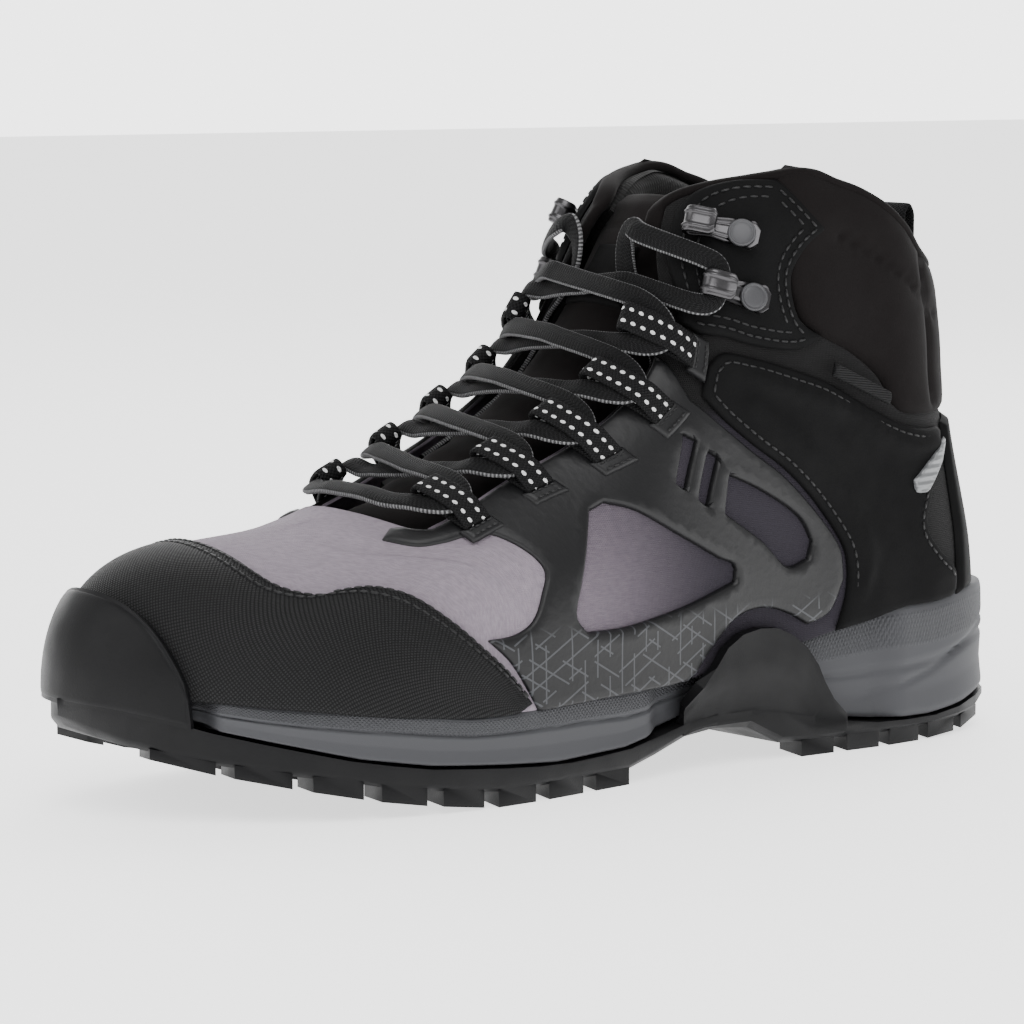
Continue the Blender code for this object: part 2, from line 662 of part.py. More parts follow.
def wing_grid(side):
    """Rubber wing that climbs the midfoot on one side of the sole."""
    line = smooth_line(SOLE_LATERAL if side > 0 else SOLE_MEDIAL, 200)
    top = smooth_line(WING_TOP, 13)
    rows = []
    for t, z_top in top:
        z_low = float(height_at(TREAD_TOP, t)) - 3.0
        z = np.linspace(z_top, min(z_low, z_top - 2), 7)
        wall = np.interp(t, line[:, 0], line[:, 1])
        form = on_form(np.full(7, t), np.maximum(z, 30), side)[:, 0] + side * 4.4
        f = np.clip((z - 18) / 8, 0, 1)
        rows.append(np.stack([wall + (form - wall) * f, np.full(7, LENGTH / 2 - t), z], 1))
    return np.array(rows)


def join_all(target, pieces):
    """Union pieces into the target body."""
    for piece in pieces:
        union = target.modifiers.new("join_" + piece.name, "BOOLEAN")
        union.operation = "UNION"
        union.solver = "EXACT"
        union.object = piece
    bpy.context.view_layer.update()
    graph = bpy.context.evaluated_depsgraph_get()
    mesh = bpy.data.meshes.new_from_object(target.evaluated_get(graph))
    target.modifiers.clear()
    target.data = mesh
    for piece in pieces:
        bpy.data.objects.remove(piece)


def make_outsole():
    """Rubber outsole: base with lugs, toe bumper and two midfoot wings."""
    outer = sole_loop(0)
    low = sole_loop(2.0)
    under = ring(low, 0)
    under[:, 2] = tread_base(low[:, 0])
    edge = ring(outer, 0)
    edge[:, 2] = np.minimum(tread_base(outer[:, 0]) + 2.0, height_at(TREAD_TOP, outer[:, 0]) - 1.5)
    top = ring(outer, TREAD_TOP)
    base = stack("outsole", [under, edge, top], "outsole_rubber")
    vertices, faces = tread_lugs()
    lugs = add_object("lugs", vertices, faces, "outsole_rubber")
    bumper = shell("bumper", bumper_grid(), BUMPER, "outsole_rubber")
    wings = [shell(f"wing_{side}", wing_grid(side), (0.0, 3.0), "outsole_rubber")
             for side in (1, -1)]
    join_all(base, [lugs, bumper] + wings)


def make_midsole():
    """Foam midsole: a cup that stands on the outsole and carries the lasted upper."""
    loop = sole_loop(0)
    inset = 4.2 * bump(loop[:, 0], 62, 142, 10) + 5.0 * bump(loop[:, 0], 287, 320, 5)
    wall = sole_loop(inset)
    bottom = ring(wall, raised(TREAD_TOP, 0.9))
    bulge = ring(sole_loop(inset - 0.0), 0)
    bulge[:, 2] = (height_at(TREAD_TOP, wall[:, 0]) + height_at(FEATHER, wall[:, 0])) / 2
    rim = ring(sole_loop(inset + 0.8), raised(FEATHER, -0.4))
    lip = ring(form_loop(6.4, FEATHER), raised(FEATHER, -0.6))
    floor = ring(form_loop(8.0, FEATHER), DISH_FLOOR)
    stack("midsole", [bottom, bulge, rim, lip, floor], "midsole_foam")


def plate(name, inset, low, high, material_name, crown=0.0, origin=None):
    """Flat-edged plate that follows the dish: board or footbed."""
    edge = form_loop(inset, FEATHER)
    rings = [ring(form_loop(inset + 1, FEATHER), raised(DISH_FLOOR, low)),
             ring(edge, raised(DISH_FLOOR, low + 1)),
             ring(edge, raised(DISH_FLOOR, high)),
             ring(form_loop(inset + 1.2, FEATHER), raised(DISH_FLOOR, high))]
    if crown:
        rings.append(ring(form_loop(inset + 7, FEATHER), raised(DISH_FLOOR, high - crown)))
    stack(name, rings, material_name, origin)


def make_shank():
    """Stiff plate under the arch, between midsole and board."""
    ts = np.linspace(58, 186, 9)
    rows = []
    for t in ts:
        half = 13 + 4 * math.cos((t - 58) / 128 * 2 * math.pi)
        x = np.linspace(-half, half, 3) + float(centre_line(t))
        z = np.full(3, float(height_at(DISH_FLOOR, t)) + 1.5)
        rows.append(np.stack([x, np.full(3, LENGTH / 2 - t), z], 1))
    shell("shank", np.array(rows), (0.0, 1.0), "shank_plate")


# ---------------------------------------------------------------- upper
def feather_run(t_start, t_end, dz, count=12):
    """Piece of the feather line from one length to another, raised by dz."""
    ts = np.linspace(t_start, t_end, count)
    return np.stack([ts, height_at(FEATHER, ts) + dz], 1)


def toe_feather(t_start, dz):
    """Low edge of a toe piece: the feather line from t_start forwards, raised by dz."""
    return [tuple(point) for point in feather_run(t_start, 296, dz, 8)]


def make_vamp():
    """Textile vamp over the toes, from the throat to the toe tip, and its lining."""
    grid = toe_patch(VAMP_REAR, toe_feather(203, 0.7), toe_outline(226, 34.7), 10, 23)
    shell("vamp", grid, TEXTILE, "ripstop_grey")
    rear = [(201, 28.8)] + [(t + 3, z) for t, z in VAMP_REAR[1:]]
    grid = toe_patch(rear, toe_feather(207, 2.2), toe_outline(229, 36.2, inward=0.6), 9, 19)
    shell("lining_forefoot", grid, TOE_LINING, "lining_textile")


def make_toe_pieces():
    """Toe cap outside the vamp and stiff toe puff inside it."""
    grid = toe_patch(CAP_REAR, toe_feather(201, 1.0), toe_outline(270, 35), 9, 25)
    shell("toe_cap", grid, FILM, "toe_cap_textile")
    rear = [(263, 43), (259, 50), (257, 58), (259, 64)]
    low = [(267, 38.5), (286, 38.5)]
    grid = toe_patch(rear, low, toe_outline(264, 38.5, inward=0.6), 7, 21)
    shell("toe_puff", grid, TOE_STIFFENER, "stiffener")


def make_quarters():
    """Textile quarters: the side walls of the upper."""
    seam = unrolled(np.array(SHELL_SEAM[:-1]) + [SEAM, -SEAM])
    feather = unrolled(feather_run(196.8, 12, 0.7, 20))
    outline = closed_outline([
        unrolled([(214.3, 73.9)] + THROAT_EDGE[2:]),
        unrolled([THROAT_EDGE[-1], (118, 162), (110, 165), (101.8, 165.2)]),
        np.concatenate([seam, [(1.0, 96.2)]]),
        [(1.0, 96.2), (1.0, 70), (1.0, 43.8)],
        np.concatenate([[(1.0, 43.8)], feather[::-1]]),
        unrolled([(196.8, 26.2), (197.8, 38), (200.8, 52), (206.8, 66), (214.3, 73.9)])], 8.0)
    for side, word in ((1, "lateral"), (-1, "medial")):
        panel("quarter_" + word, outline * [side, 1], [], TEXTILE, "ripstop_grey", 9.0)


def on_heel(z):
    """Side-view place on the heel's middle line."""
    return (float(heel_t(z)), z)


def make_rear():
    """Softshell ankle collar, its padding, the shaft lining, heel counter and backstay."""
    top = unrolled(COLLAR_TOP[4:-1] + [on_heel(138)])
    seam = unrolled(SHELL_SEAM[:-1] + [on_heel(97)])
    outline = closed_outline([
        np.concatenate([top, top[::-1][1:] * [-1, 1]]),
        [top[0] * [-1, 1], seam[0] * [-1, 1]],
        np.concatenate([seam * [-1, 1], seam[::-1][1:]]),
        [seam[0], top[0]]], 7.5)
    panel("ankle_collar", outline, [], (0.0, 1.6), "softshell", 9.0)
    pad_top = [(116, 160), (104, 164), (95, 165), (79, 160), (62, 153), (46, 140), (36, 136),
               on_heel(135.5)]
    pad_low = [(118, 122), (104, 118), (90, 115), (70, 113), (50, 112), (36, 112), on_heel(112)]
    wrap("collar_padding", wrap_grid(pad_top, pad_low, 25, 5), COLLAR_PAD, "softshell")
    lining_top = [(192, 70), (176, 80), (156, 90), (140, 100), (126, 116), (116, 135), (106, 150),
                  (92, 157), (70, 152), (50, 141), (36, 134), on_heel(133)]
    lining_low = [(186, 33), (150, 31), (120, 33), (90, 37), (60, 43), (36, 46), on_heel(46)]
    wrap("lining_shaft", wrap_grid(lining_top, lining_low, 31, 8), LINING, "lining_textile")
    counter_top = [(84, 60), (74, 76), (56, 86), (36, 90), on_heel(91)]
    counter_low = [(96, 36.5), (80, 38.5), (60, 42), (36, 44.5), on_heel(45)]
    wrap("heel_counter", wrap_grid(counter_top, counter_low, 21, 5), STIFFENER, "stiffener")
    stay_top = [(33, 92), (27, 93.5), on_heel(94)]
    stay_low = [(28, 46), (20, 46), on_heel(46)]
    wrap("backstay", wrap_grid(stay_top, stay_low, 11, 7), SADDLE, "saddle_nubuck")


def outline_of(runs, spacing):
    """Closed unrolled outline from side-view runs."""
    return closed_outline([unrolled(run) for run in runs], spacing)


def side_outlines():
    """Side panels: outlines of overlay, windows, saddle and cuff."""
    spacing = 7.0
    throat = smooth_line(THROAT_EDGE, 40)
    throat = throat[throat[:, 1] < 119] + [0.3, -1.2]
    overlay = outline_of([
        throat,
        [throat[-1], (137, 113), (134, 104)],
        [(134, 104), (126, 98), (113, 89), (102, 82), (90, 72), (83, 65), (78.5, 59), (77, 50)],
        [(77, 50), (82, 41), (90, 38)],
        [(90, 38), (98, 42), (108, 44.5), (118, 43), (127, 36), (136, 28)],
        feather_run(136, 194, 0.9, 8),
        [(194, 26.4), (203, 38), (211, 45.2)],
        [(211, 45.2), (202, 46), (196, 49), (192, 56), (190, 62), (194, 67), (202, 71.2),
         (214, 69.3), (221, 68.5), (228, 70)],
        [(228, 70), throat[0]]], spacing)
    triangle = outline_of([
        [(166, 78), (158, 76), (144, 69), (126, 60)],
        [(126, 60), (120, 57.5), (120, 53)],
        [(120, 53), (136, 48.5), (150, 46), (163, 44.5), (177, 44.5)],
        [(177, 44.5), (181, 49), (179, 57), (175, 67), (171, 76)],
        [(171, 76), (166, 78)]], spacing)
    parallelogram = outline_of([
        [(122, 83), (109, 77.5), (94, 68.5), (89.5, 62)],
        [(89.5, 62), (91, 57)],
        [(91, 57), (99, 55.5), (110, 64), (124, 72.5)],
        [(124, 72.5), (122, 83)]], spacing)
    bars = [outline_of([[(t, z), (t + 4, z + 2)], [(t + 4, z + 2), (t + 8, z - 11)],
                        [(t + 8, z - 11), (t + 4.5, z - 13)], [(t + 4.5, z - 13), (t, z)]], 20)
            for t, z in ((134, 93), (126, 88))]
    saddle = outline_of([
        [(127, 113), (122, 116.5), (112, 115), (94, 110), (85, 107), (62, 96), (50, 92), (37, 91)],
        [(37, 91), (39, 82), (44, 70), (45, 62), (39, 55), (32, 49), (32, 43.5)],
        [(32, 43.5), (41, 42.7), (53, 42), (66, 39.2), (79, 38.5)],
        [(79, 38.5), (75.5, 46), (75.5, 54), (77.5, 60), (89, 73.5), (101, 83.5), (113, 91),
         (124, 99), (130, 105)],
        [(130, 105), (127, 113)]], spacing)
    cuff = outline_of([
        [(132.6, 125), (130.5, 134), (128.5, 146), (124, 155)],
        [(124, 155), (118, 160.5), (110, 163.5), (99, 164)],
        [(99, 164), (92, 157), (84, 150)],
        [(84, 150), (93, 143.5), (97.5, 136), (95, 125), (86, 119.5)],
        [(86, 119.5), (96, 116.5), (112, 118.5), (121, 121), (128, 122)],
        [(128, 122), (132.6, 125)]], spacing)
    return overlay, [triangle, parallelogram] + bars, saddle, cuff


def make_side_panels():
    """Overlay film with windows, heel saddle, cuff panel and reflector on both sides."""
    overlay, windows, saddle, cuff = side_outlines()
    wedge = outline_of([[(37.5, 88), (46.5, 81.5)], [(46.5, 81.5), (52, 77)],
                        [(52, 77), (51, 73.5), (47, 73)], [(47, 73), (40.5, 81)],
                        [(40.5, 81), (37.5, 88)]], 6)
    for side, word in ((1, "lateral"), (-1, "medial")):
        turn = [side, 1]
        holes = [window * turn for window in windows]
        panel("overlay_" + word, overlay * turn, holes, FILM, "overlay_film")
        panel("heel_saddle_" + word, saddle * turn, [], SADDLE, "saddle_nubuck")
        panel("cuff_panel_" + word, cuff * turn, [], CUFF, "saddle_nubuck")
        panel("reflector_" + word, wedge * turn, [], (3.6, 0.7), "reflector_silver")
    tag = outline_of([[(84, 112.5), (73, 107.8), (62, 103)], [(62, 103), (62.8, 99.5)],
                      [(62.8, 99.5), (74, 104.2), (85, 108.8)], [(85, 108.8), (84, 112.5)]], 6)
    panel("side_tag", tag, [], (3.9, 0.8), "tag_black")


# ---------------------------------------------------------------- throat: tongue, loops, lace
EDGE_FINE = smooth_line(THROAT_EDGE, 160)
RIDGE_DENSE = smooth_line(RIDGE, 900)
RIDGE_MATCH = np.array([RIDGE_DENSE[np.argmin(np.linalg.norm(RIDGE_DENSE - p, axis=1))]
                        for p in smooth_line(THROAT_RIDGE, 160)])
EDGE_LENGTH = float(np.sum(np.linalg.norm(np.diff(EDGE_FINE, axis=0), axis=1)))


def throat_tz(s, w):
    """Side-view place at s millimetres up the throat edge and w across it.

    w is 0 on the ridge and 1 on the eyestay edge, and grows evenly round the form.
    """
    f = np.clip(np.asarray(s, float) / EDGE_LENGTH, 0, 1) * (len(EDGE_FINE) - 1)
    k = np.arange(len(EDGE_FINE))
    edge = np.stack([np.interp(f, k, EDGE_FINE[:, i]) for i in (0, 1)], -1)
    ridge = np.stack([np.interp(f, k, RIDGE_MATCH[:, i]) for i in (0, 1)], -1)
    return ridge + (edge - ridge) * (np.asarray(w, float)**2)[..., None]


def throat_base(s, w):
    """Form point at (s, w) over the throat."""
    tz = throat_tz(s, w)
    lateral = on_form(tz[..., 0], tz[..., 1], 1)
    medial = on_form(tz[..., 0], tz[..., 1], -1)
    return np.where((w >= 0)[..., None], lateral, medial)


def throat_point(s, w, lift):
    """Point and normal over the throat at (s, w), lifted off the form."""
    s, w, lift = np.broadcast_arrays(*(np.asarray(v, float) for v in (s, w, lift)))
    across = throat_base(s, w + 0.09) - throat_base(s, w - 0.09)
    up = throat_base(s + 0.5, w) - throat_base(s - 0.5, w)
    normals = np.cross(across, up)
    normals /= np.linalg.norm(normals, axis=-1, keepdims=True)
    return throat_base(s, w) + normals * lift[..., None], normals


LOOP_S = (15.5, 37.5, 59.0, 79.6, 99.8)
HOOK_S = 119.5
TONGUE_HALF = 1.28


def tongue_grid(s_low, s_high, rows, columns, half=TONGUE_HALF, extra=0.0):
    """Grid over the throat from s_low to s_high; extra continues it upwards past the edge."""
    s = np.linspace(s_low, s_high, rows)
    w = np.linspace(half, -half, columns)
    grid, _ = throat_point(s[:, None] + 0 * w, w[None] + 0 * s[:, None], 0.0)
    if extra:
        step = grid[-1] - grid[-2]
        step = step.mean(0) / np.linalg.norm(step.mean(0))
        lean = np.array([0.0, 0.35, 0.0])
        top = grid[-1] + (step + lean) * extra
        grid = np.concatenate([grid, [top]])
    return grid


def tongue_hinge():
    """Point on the tongue's bending line, at the base of the throat."""
    point, normal = throat_point(np.array([6.0]), np.array([0.0]), np.array([0.0]))
    return point[0] + normal[0] * (TONGUE[0] - TONGUE[1])


def make_tongue():
    """Tongue with its outer shell, its padding and a plain patch near the top."""
    hinge = tongue_hinge()
    s_top = EDGE_LENGTH - 1
    shell("tongue_shell", tongue_grid(7, s_top, 13, 9, extra=9.0), TONGUE, "softshell", hinge)
    shell("tongue_padding", tongue_grid(16, s_top, 11, 7, 1.12, 8.0), TONGUE_PAD, "lining_textile",
          hinge)
    patch = tongue_grid(118, 134, 3, 5, 0.5)
    shell("tongue_patch", patch, (TONGUE[0] + 1.5, 1.0), "tag_black", hinge)


def make_gussets():
    """Folded webs that close the gap between tongue and quarters on both sides."""
    for side, word in ((1, "lateral"), (-1, "medial")):
        s = np.linspace(12, 96, 9)
        w = np.array([1.42, 1.55, 1.68])
        grid, _ = throat_point(s[:, None] + 0 * w, side * w[None] + 0 * s[:, None], 0.0)
        shell("gusset_" + word, grid, (-2.3, 0.8), "softshell")


def strap_path(side, s, stations, width):
    """Edges of a strap that runs across the throat edge, from (w, lift) stations."""
    rows = []
    for w, lift in stations:
        point, _ = throat_point(np.array([s - width / 2, s + width / 2]),
                                np.full(2, side * w), np.full(2, lift))
        rows.append(point)
    return np.array(rows)


def strap(name, rows, thickness, material_name):
    """Band of constant thickness through rows of two edge points."""
    middle = rows.mean(1)
    across = rows[:, 1] - rows[:, 0]
    along = np.gradient(middle, axis=0)
    normal = np.cross(along, across)
    normal /= np.linalg.norm(normal, axis=1, keepdims=True)
    half = normal * thickness / 2
    rings = np.stack([rows[:, 0] - half, rows[:, 1] - half, rows[:, 1] + half,
                      rows[:, 0] + half], 1)
    count = len(rings) * 4
    faces = grid_faces(len(rings), 4, closed=True)
    faces += [(3, 2, 1, 0), (count - 4, count - 3, count - 2, count - 1)]
    return add_object(name, rings.reshape(-1, 3), faces, material_name)


def make_loops():
    """Webbing loops, five a side, each folded round the lace."""
    low, high = 3.2, 7.3
    middle, radius = (low + high) / 2, (high - low) / 2
    tip = 0.78
    turn = [(tip - 0.07 * math.sin(a), middle - radius * math.cos(a))
            for a in np.linspace(0, math.pi, 7)]
    stations = [(1.38, low), (1.2, low), (1.0, low)] + turn
    stations += [(1.0, high), (1.16, high), (1.28, 6.1), (1.38, 5.1)]
    for side, word in ((1, "lateral"), (-1, "medial")):
        for number, s in enumerate(LOOP_S, 1):
            rows = strap_path(side, s, stations, WEBBING_WIDTH)
            strap(f"lace_loop_{word}_{number}", rows, WEBBING_THICK, "webbing")


def hook_frame(side, number):
    """Rivet centre, unit vectors along and across the hook, and the panel's normal."""
    rivet = ((112, 131), (112, 148))[number - 1]
    tip = ((124.4, 134.8), (123, 151))[number - 1]
    point = on_form(np.array([rivet[0], tip[0]]), np.array([rivet[1], tip[1]]), side)
    normal = form_normal(np.array([(rivet[0] + tip[0]) / 2]), np.array([(rivet[1] + tip[1]) / 2]),
                         side)[0]
    along = point[1] - point[0]
    length = np.linalg.norm(along)
    along = along / length
    normal = normal - along * normal.dot(along)
    normal /= np.linalg.norm(normal)
    return point[0], along, np.cross(normal, along), normal, length


def make_hooks():
    """Speed hooks, two a side: a stamped strip that curls back over the lace, and its rivet."""
    for side, word in ((1, "lateral"), (-1, "medial")):
        for number, name in ((1, "lower"), (2, "upper")):
            origin, along, across, normal, length = hook_frame(side, number)
            low, high = 4.1, 9.1
            middle, radius = (low + high) / 2, (high - low) / 2
            turn = [(length - 1 + radius * math.sin(a), middle - radius * math.cos(a))
                    for a in np.linspace(0, math.pi, 8)]
            stations = [(-4.2, low), (1, low), (length - 4, low)] + turn
            stations += [(length - 5, high + 0.2), (length - 7, high + 0.9)]
            rows = []
            for distance, lift in stations:
                wide = HOOK_WIDTH / 2 if distance > 6 or lift > low else HOOK_WIDTH / 2 + 0.6
                centre = origin + along * distance + normal * lift
                rows.append([centre - across * wide, centre + across * wide])
            strap(f"hook_{word}_{name}", np.array(rows), 1.0, "hook_metal")
            make_rivet(f"rivet_cap_{word}_{name}", origin + normal * (low + 0.9), normal)


def make_rivet(name, centre, normal):
    """Domed rivet cap standing on the hook's base."""
    bpy.ops.mesh.primitive_cone_add(vertices=16, radius1=3.8 * MM, radius2=2.6 * MM, depth=1.4 * MM)
    cap = bpy.context.object
    cap.name = name
    cap.data.name = name
    place = (centre + normal * 0.7 - [CENTRE_X, 0, 0]) * MM
    cap.location = Vector(place)
    cap.rotation_euler = Vector(normal).to_track_quat("Z", "Y").to_euler()
    for collection in list(cap.users_collection):
        collection.objects.unlink(cap)
    parts.objects.link(cap)
    cap.data.materials.append(material("rivet_metal"))


HOOK_SEAT = ((4.6, 6.7, 6.5), (1.5, 6.0, 6.6), (-0.3, 4.4, 6.6), (-0.8, 1.6, 6.6))
TUCK = ((7.0, 0.88, 6.2), (8.4, 0.7, 4.6), (5.2, 0.56, 1.6), (-1.5, 0.52, -1.8), (-8, 0.62, -3.6),
        (-16, 0.86, -3.8), (-26, 1.08, -3.8), (-38, 1.1, -3.8), (-50, 1.1, -3.8),
        (-63, 1.1, -3.8), (-76, 1.1, -3.8))


def hook_turn(side):
    """Points and normals of the lace where it lies in the lower hook."""
    origin, along, across, normal, length = hook_frame(side, 1)
    seat = length - 1.8
    half = [(seat + d, side * offset, lift) for d, offset, lift in HOOK_SEAT]
    path = np.array(half + [(d, -offset, lift) for d, offset, lift in half[::-1]])
    points = origin + path[:, :1] * along + path[:, 1:2] * across + path[:, 2:] * normal
    return points, np.tile(normal, (len(points), 1))


def lace_lift(w, over):
    """Height of a crossing strand: it hangs from the loops and dips to the tongue."""
    base = LOOP_LIFT - 7.2 * (1 - min(abs(w), 1)**2)
    return base + (3.1 * (1 - min(max((abs(w) - 0.72) / 0.23, 0), 1)) if over else 0)


def crossing(s_from, s_to, side, over):
    """Stations of one strand that crosses from one side to the other."""
    f = np.linspace(0, 1, 9)[1:-1]
    ease = f * f * (3 - 2 * f) * 0.35 + f * 0.65
    stations = []
    for a, b in zip(f, ease):
        w = side * 0.78 * (1 - 2 * a)
        stations.append((s_from + (s_to - s_from) * b, w, lace_lift(w, over)))
    return stations


def lace_half(side, over_first):
    """Points and normals of one half of the lace, from the bottom bar to the tucked end."""
    stations = [(LOOP_S[0] - 9.0, side * w, BAR_LIFT + 1.6 * w) for w in (0.3, 0.6)]
    over = over_first
    lift = LOOP_LIFT + 0.15
    for s, s_next in zip(LOOP_S, LOOP_S[1:] + (HOOK_S + 0.3,)):
        stations += [(s - 7.0, side * 0.8, lift - 0.6), (s - 5, side * 0.95, lift),
                     (s - 2, side * 1.03, lift), (s + 2, side * 1.03, lift),
                     (s + 5, side * 0.95, lift), (s + 7.0, side * 0.8, lift - 0.6)]
        stations += crossing(s + 7.0, s_next - 7.0, side, over)
        side = -side
        over = not over
    tuck = [(HOOK_S + ds, side * w, lift) for ds, w, lift in TUCK]
    runs = [throat_point(*np.array(stations).T), hook_turn(side), throat_point(*np.array(tuck).T)]
    return [np.concatenate(parts) for parts in zip(*runs)]


def lace_route():
    """Whole lace from one tucked end to the other, as points and normals."""
    left = lace_half(1, True)
    right = lace_half(-1, False)
    bar = throat_point([LOOP_S[0] - 9.0], [0.0], [BAR_LIFT])
    points, normals = (np.concatenate([left[k][::-1], bar[k], right[k]]) for k in (0, 1))
    steps = np.linalg.norm(np.diff(points, axis=0), axis=1)
    knots = np.concatenate([[0], np.cumsum(np.sqrt(steps))])
    fine = np.linspace(0, knots[-1], LACE_RINGS)
    both = np.concatenate([points, normals], 1)
    curve = np.stack([cubic(knots, both[:, k], fine) for k in range(6)], 1)
    return curve[:, :3], curve[:, 3:]


def make_lace():
    """Flat lace through loops and hooks, with an aglet past each tucked end."""
    points, normals = lace_route()
    ribbon("lace", points, normals, LACE_WIDTH, LACE_THICK, "lace_cord")
    for word, end, previous, normal in (("lateral", points[0], points[1], normals[0]),
                                        ("medial", points[-1], points[-2], normals[-1])):
        direction = (end - previous) / np.linalg.norm(end - previous)
        line = [end + direction * d for d in (0.4, 8, 16)]
        ribbon("aglet_" + word, line, np.array([normal] * 3), 3.4, 1.8, "aglet_plastic")


def make_pull_tab():
    """Webbing tab folded into a loop at the top of the heel."""
    base = np.array([float(centre_line(26)), LENGTH / 2 - float(heel_t(138)) + 0.6, 138.8])
    outline = [(0.0, 0.0), (0.9, 4), (1.1, 9), (0.9, 13.5), (-0.6, 15.6), (-2.1, 13.5), (-2.5, 9),
               (-2.3, 3), (-2.0, 0.0)]
    rows = []
    for out, up in smooth_line(outline, 13):
        point = base + [0, out, up]
        rows.append([point - [7, 0, 0], point + [7, 0, 0]])
    obj = strap("pull_tab", np.array(rows), 1.1, "webbing")
    move_origin(obj, base + [0, -1, 0])


def move_origin(obj, place):
    """Put an object's origin at a place given in millimetres."""
    target = Vector((np.asarray(place, float) - [CENTRE_X, 0, 0]) * MM)
    shift = target - obj.location
    for vertex in obj.data.vertices:
        vertex.co -= shift
    obj.location = target


def main():
    """Build the boot from the ground up."""
    start_scene()
    make_outsole()
    make_midsole()
    make_shank()
    plate("insole_board", 8.8, 3.1, 4.9, "insole_board")
    hinge = (0.0, LENGTH / 2 - 288, float(height_at(DISH_FLOOR, 288)) + 5.5)
    plate("footbed", 8.9, 5.5, 10.0, "footbed_foam", 1.6, hinge)
    make_vamp()
    make_toe_pieces()
    make_quarters()
    make_rear()
    make_side_panels()
    make_tongue()
    make_gussets()
    make_loops()
    make_hooks()
    make_lace()
    make_pull_tab()


main()
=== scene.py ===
"""Looks of a left hiking boot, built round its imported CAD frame."""

import math

import bmesh
import bpy
import numpy as np
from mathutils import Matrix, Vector
from mathutils.geometry import delaunay_2d_cdt


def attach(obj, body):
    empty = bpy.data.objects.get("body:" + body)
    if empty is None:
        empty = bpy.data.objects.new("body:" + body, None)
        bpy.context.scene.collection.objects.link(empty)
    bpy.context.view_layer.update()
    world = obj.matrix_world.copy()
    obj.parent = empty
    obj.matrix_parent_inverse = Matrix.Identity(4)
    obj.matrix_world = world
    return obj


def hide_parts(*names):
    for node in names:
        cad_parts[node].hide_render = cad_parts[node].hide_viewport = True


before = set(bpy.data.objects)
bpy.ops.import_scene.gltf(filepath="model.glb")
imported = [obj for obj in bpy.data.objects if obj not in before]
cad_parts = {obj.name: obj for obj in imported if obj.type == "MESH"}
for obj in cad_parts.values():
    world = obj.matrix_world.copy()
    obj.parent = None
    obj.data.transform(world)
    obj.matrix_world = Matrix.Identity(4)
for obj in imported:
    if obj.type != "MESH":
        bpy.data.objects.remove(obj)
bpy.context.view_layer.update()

bl_info = {
    "name": "Hiking boot",
    "version": (1, 0, 0),
    "blender": (4, 5, 0),
    "location": "3D View > Sidebar > Boot",
    "description": "Builds the sole, upper, lacing and studio of a mid-height hiking boot",
    "category": "Object",
}

# Sizes in millimetres: t runs forward from the heel, z up from the ground, x sideways.
LACE_STATIONS = 1300
LACE_SIZE = (6.2, 2.2)
COLLAR_EDGE_SIZE = (5.4, 3.2)
# Layers: height of the outer face above the boot's form, and thickness.
VAMP = (0.7, 1.2)
QUARTER = (0.1, 1.1)
FOREFOOT_LINING = (-4.3, 0.8)
SHAFT_LINING = (-4.5, 1.0)
TOE_CAP = (2.1, 1.6)
BUMPER = (4.8, 2.2)
OVERLAY = (2.0, 1.7)
SADDLE = (2.6, 1.8)
CUFF = (2.5, 1.8)
WEDGE = (3.9, 1.0)
TAG = (4.4, 0.9)
COLLAR = (0.6, 1.8)
TONGUE = (-6.2, 1.4)
LABEL = (-4.9, 0.8)
GUSSET = (-2.3, 0.8)
TACK_PATCH = (3.2, 1.4)
MM = 0.001
LENGTH = 308.0
CENTRE_X = 2.98
TOE_TIP = 303.0
TOE_DEPTH = 70.0
HEEL_DEPTH = 36.0
HEEL_RADIUS = 37.0
OUTLINE_MARGIN = 0.0005
HEEL_ARC = HEEL_RADIUS * math.pi / 2
RIDGE_POWER = 2.4
TOE_POWER = 3.6
SEAM = 0.8
LOOP_LIFT = 5.25
HOOK_WIDTH = 7.4
BAR_LIFT = 2.8
WEBBING_WIDTH = 7.4
RIDGE = [(330, 73), (300, 72), (283, 71.5), (262, 70.5), (245, 71.5), (228, 76), (210, 84),
         (190, 95.5), (170, 108.5), (156, 119), (146, 131), (138, 142), (131, 154), (121, 166),
         (108, 181)]
HEEL_LINE = [(9.5, 30), (10, 43), (11.5, 56), (14.5, 70), (17.5, 83), (20, 95), (22, 106),
             (23, 118), (24.5, 129), (26.5, 140), (28, 155), (28, 185)]
FEATHER = [(306, 34), (294, 33), (282, 33), (260, 30.5), (238, 27.5), (216, 25.5), (197, 25.3),
           (170, 26.4), (146, 27), (130, 28), (112, 30), (93, 33), (66, 38), (53, 41), (41, 41.5),
           (28, 42.6), (0, 43)]
THROAT_EDGE = [(222, 74.5), (216, 73.5), (206, 77), (190, 84.5), (172, 92.5), (155, 102),
               (143, 112), (136, 124), (133, 136), (130, 147), (125, 157)]
THROAT_RIDGE = [(226, 76.8), (221, 79), (211, 83.5), (196, 91.8), (178, 103), (163, 113.5),
                (152.5, 123.5), (144.5, 133), (138, 142), (134, 149), (128, 158)]
COLLAR_TOP = [(125, 158), (121, 162), (111, 166.5), (101, 168.5), (95, 168.5), (88, 167),
              (79, 163.5), (71, 161), (62, 156.5), (53, 150), (46, 143.5), (38, 139.5),
              (31, 138), (26.3, 138)]
SHELL_SEAM = [(101, 166), (99, 150), (97, 136), (93, 126), (85, 121), (75, 116.5), (63, 108),
              (56, 99), (44, 97), (30, 97), (20.4, 97)]
VAMP_REAR = [(198, 26.2), (199, 38), (202, 52), (208, 66), (218, 72.5)]
CAP_REAR = [(196, 27), (205, 37), (213, 44), (221, 51), (230, 57.5), (238, 59.5), (246, 59),
            (254, 58), (263, 61)]
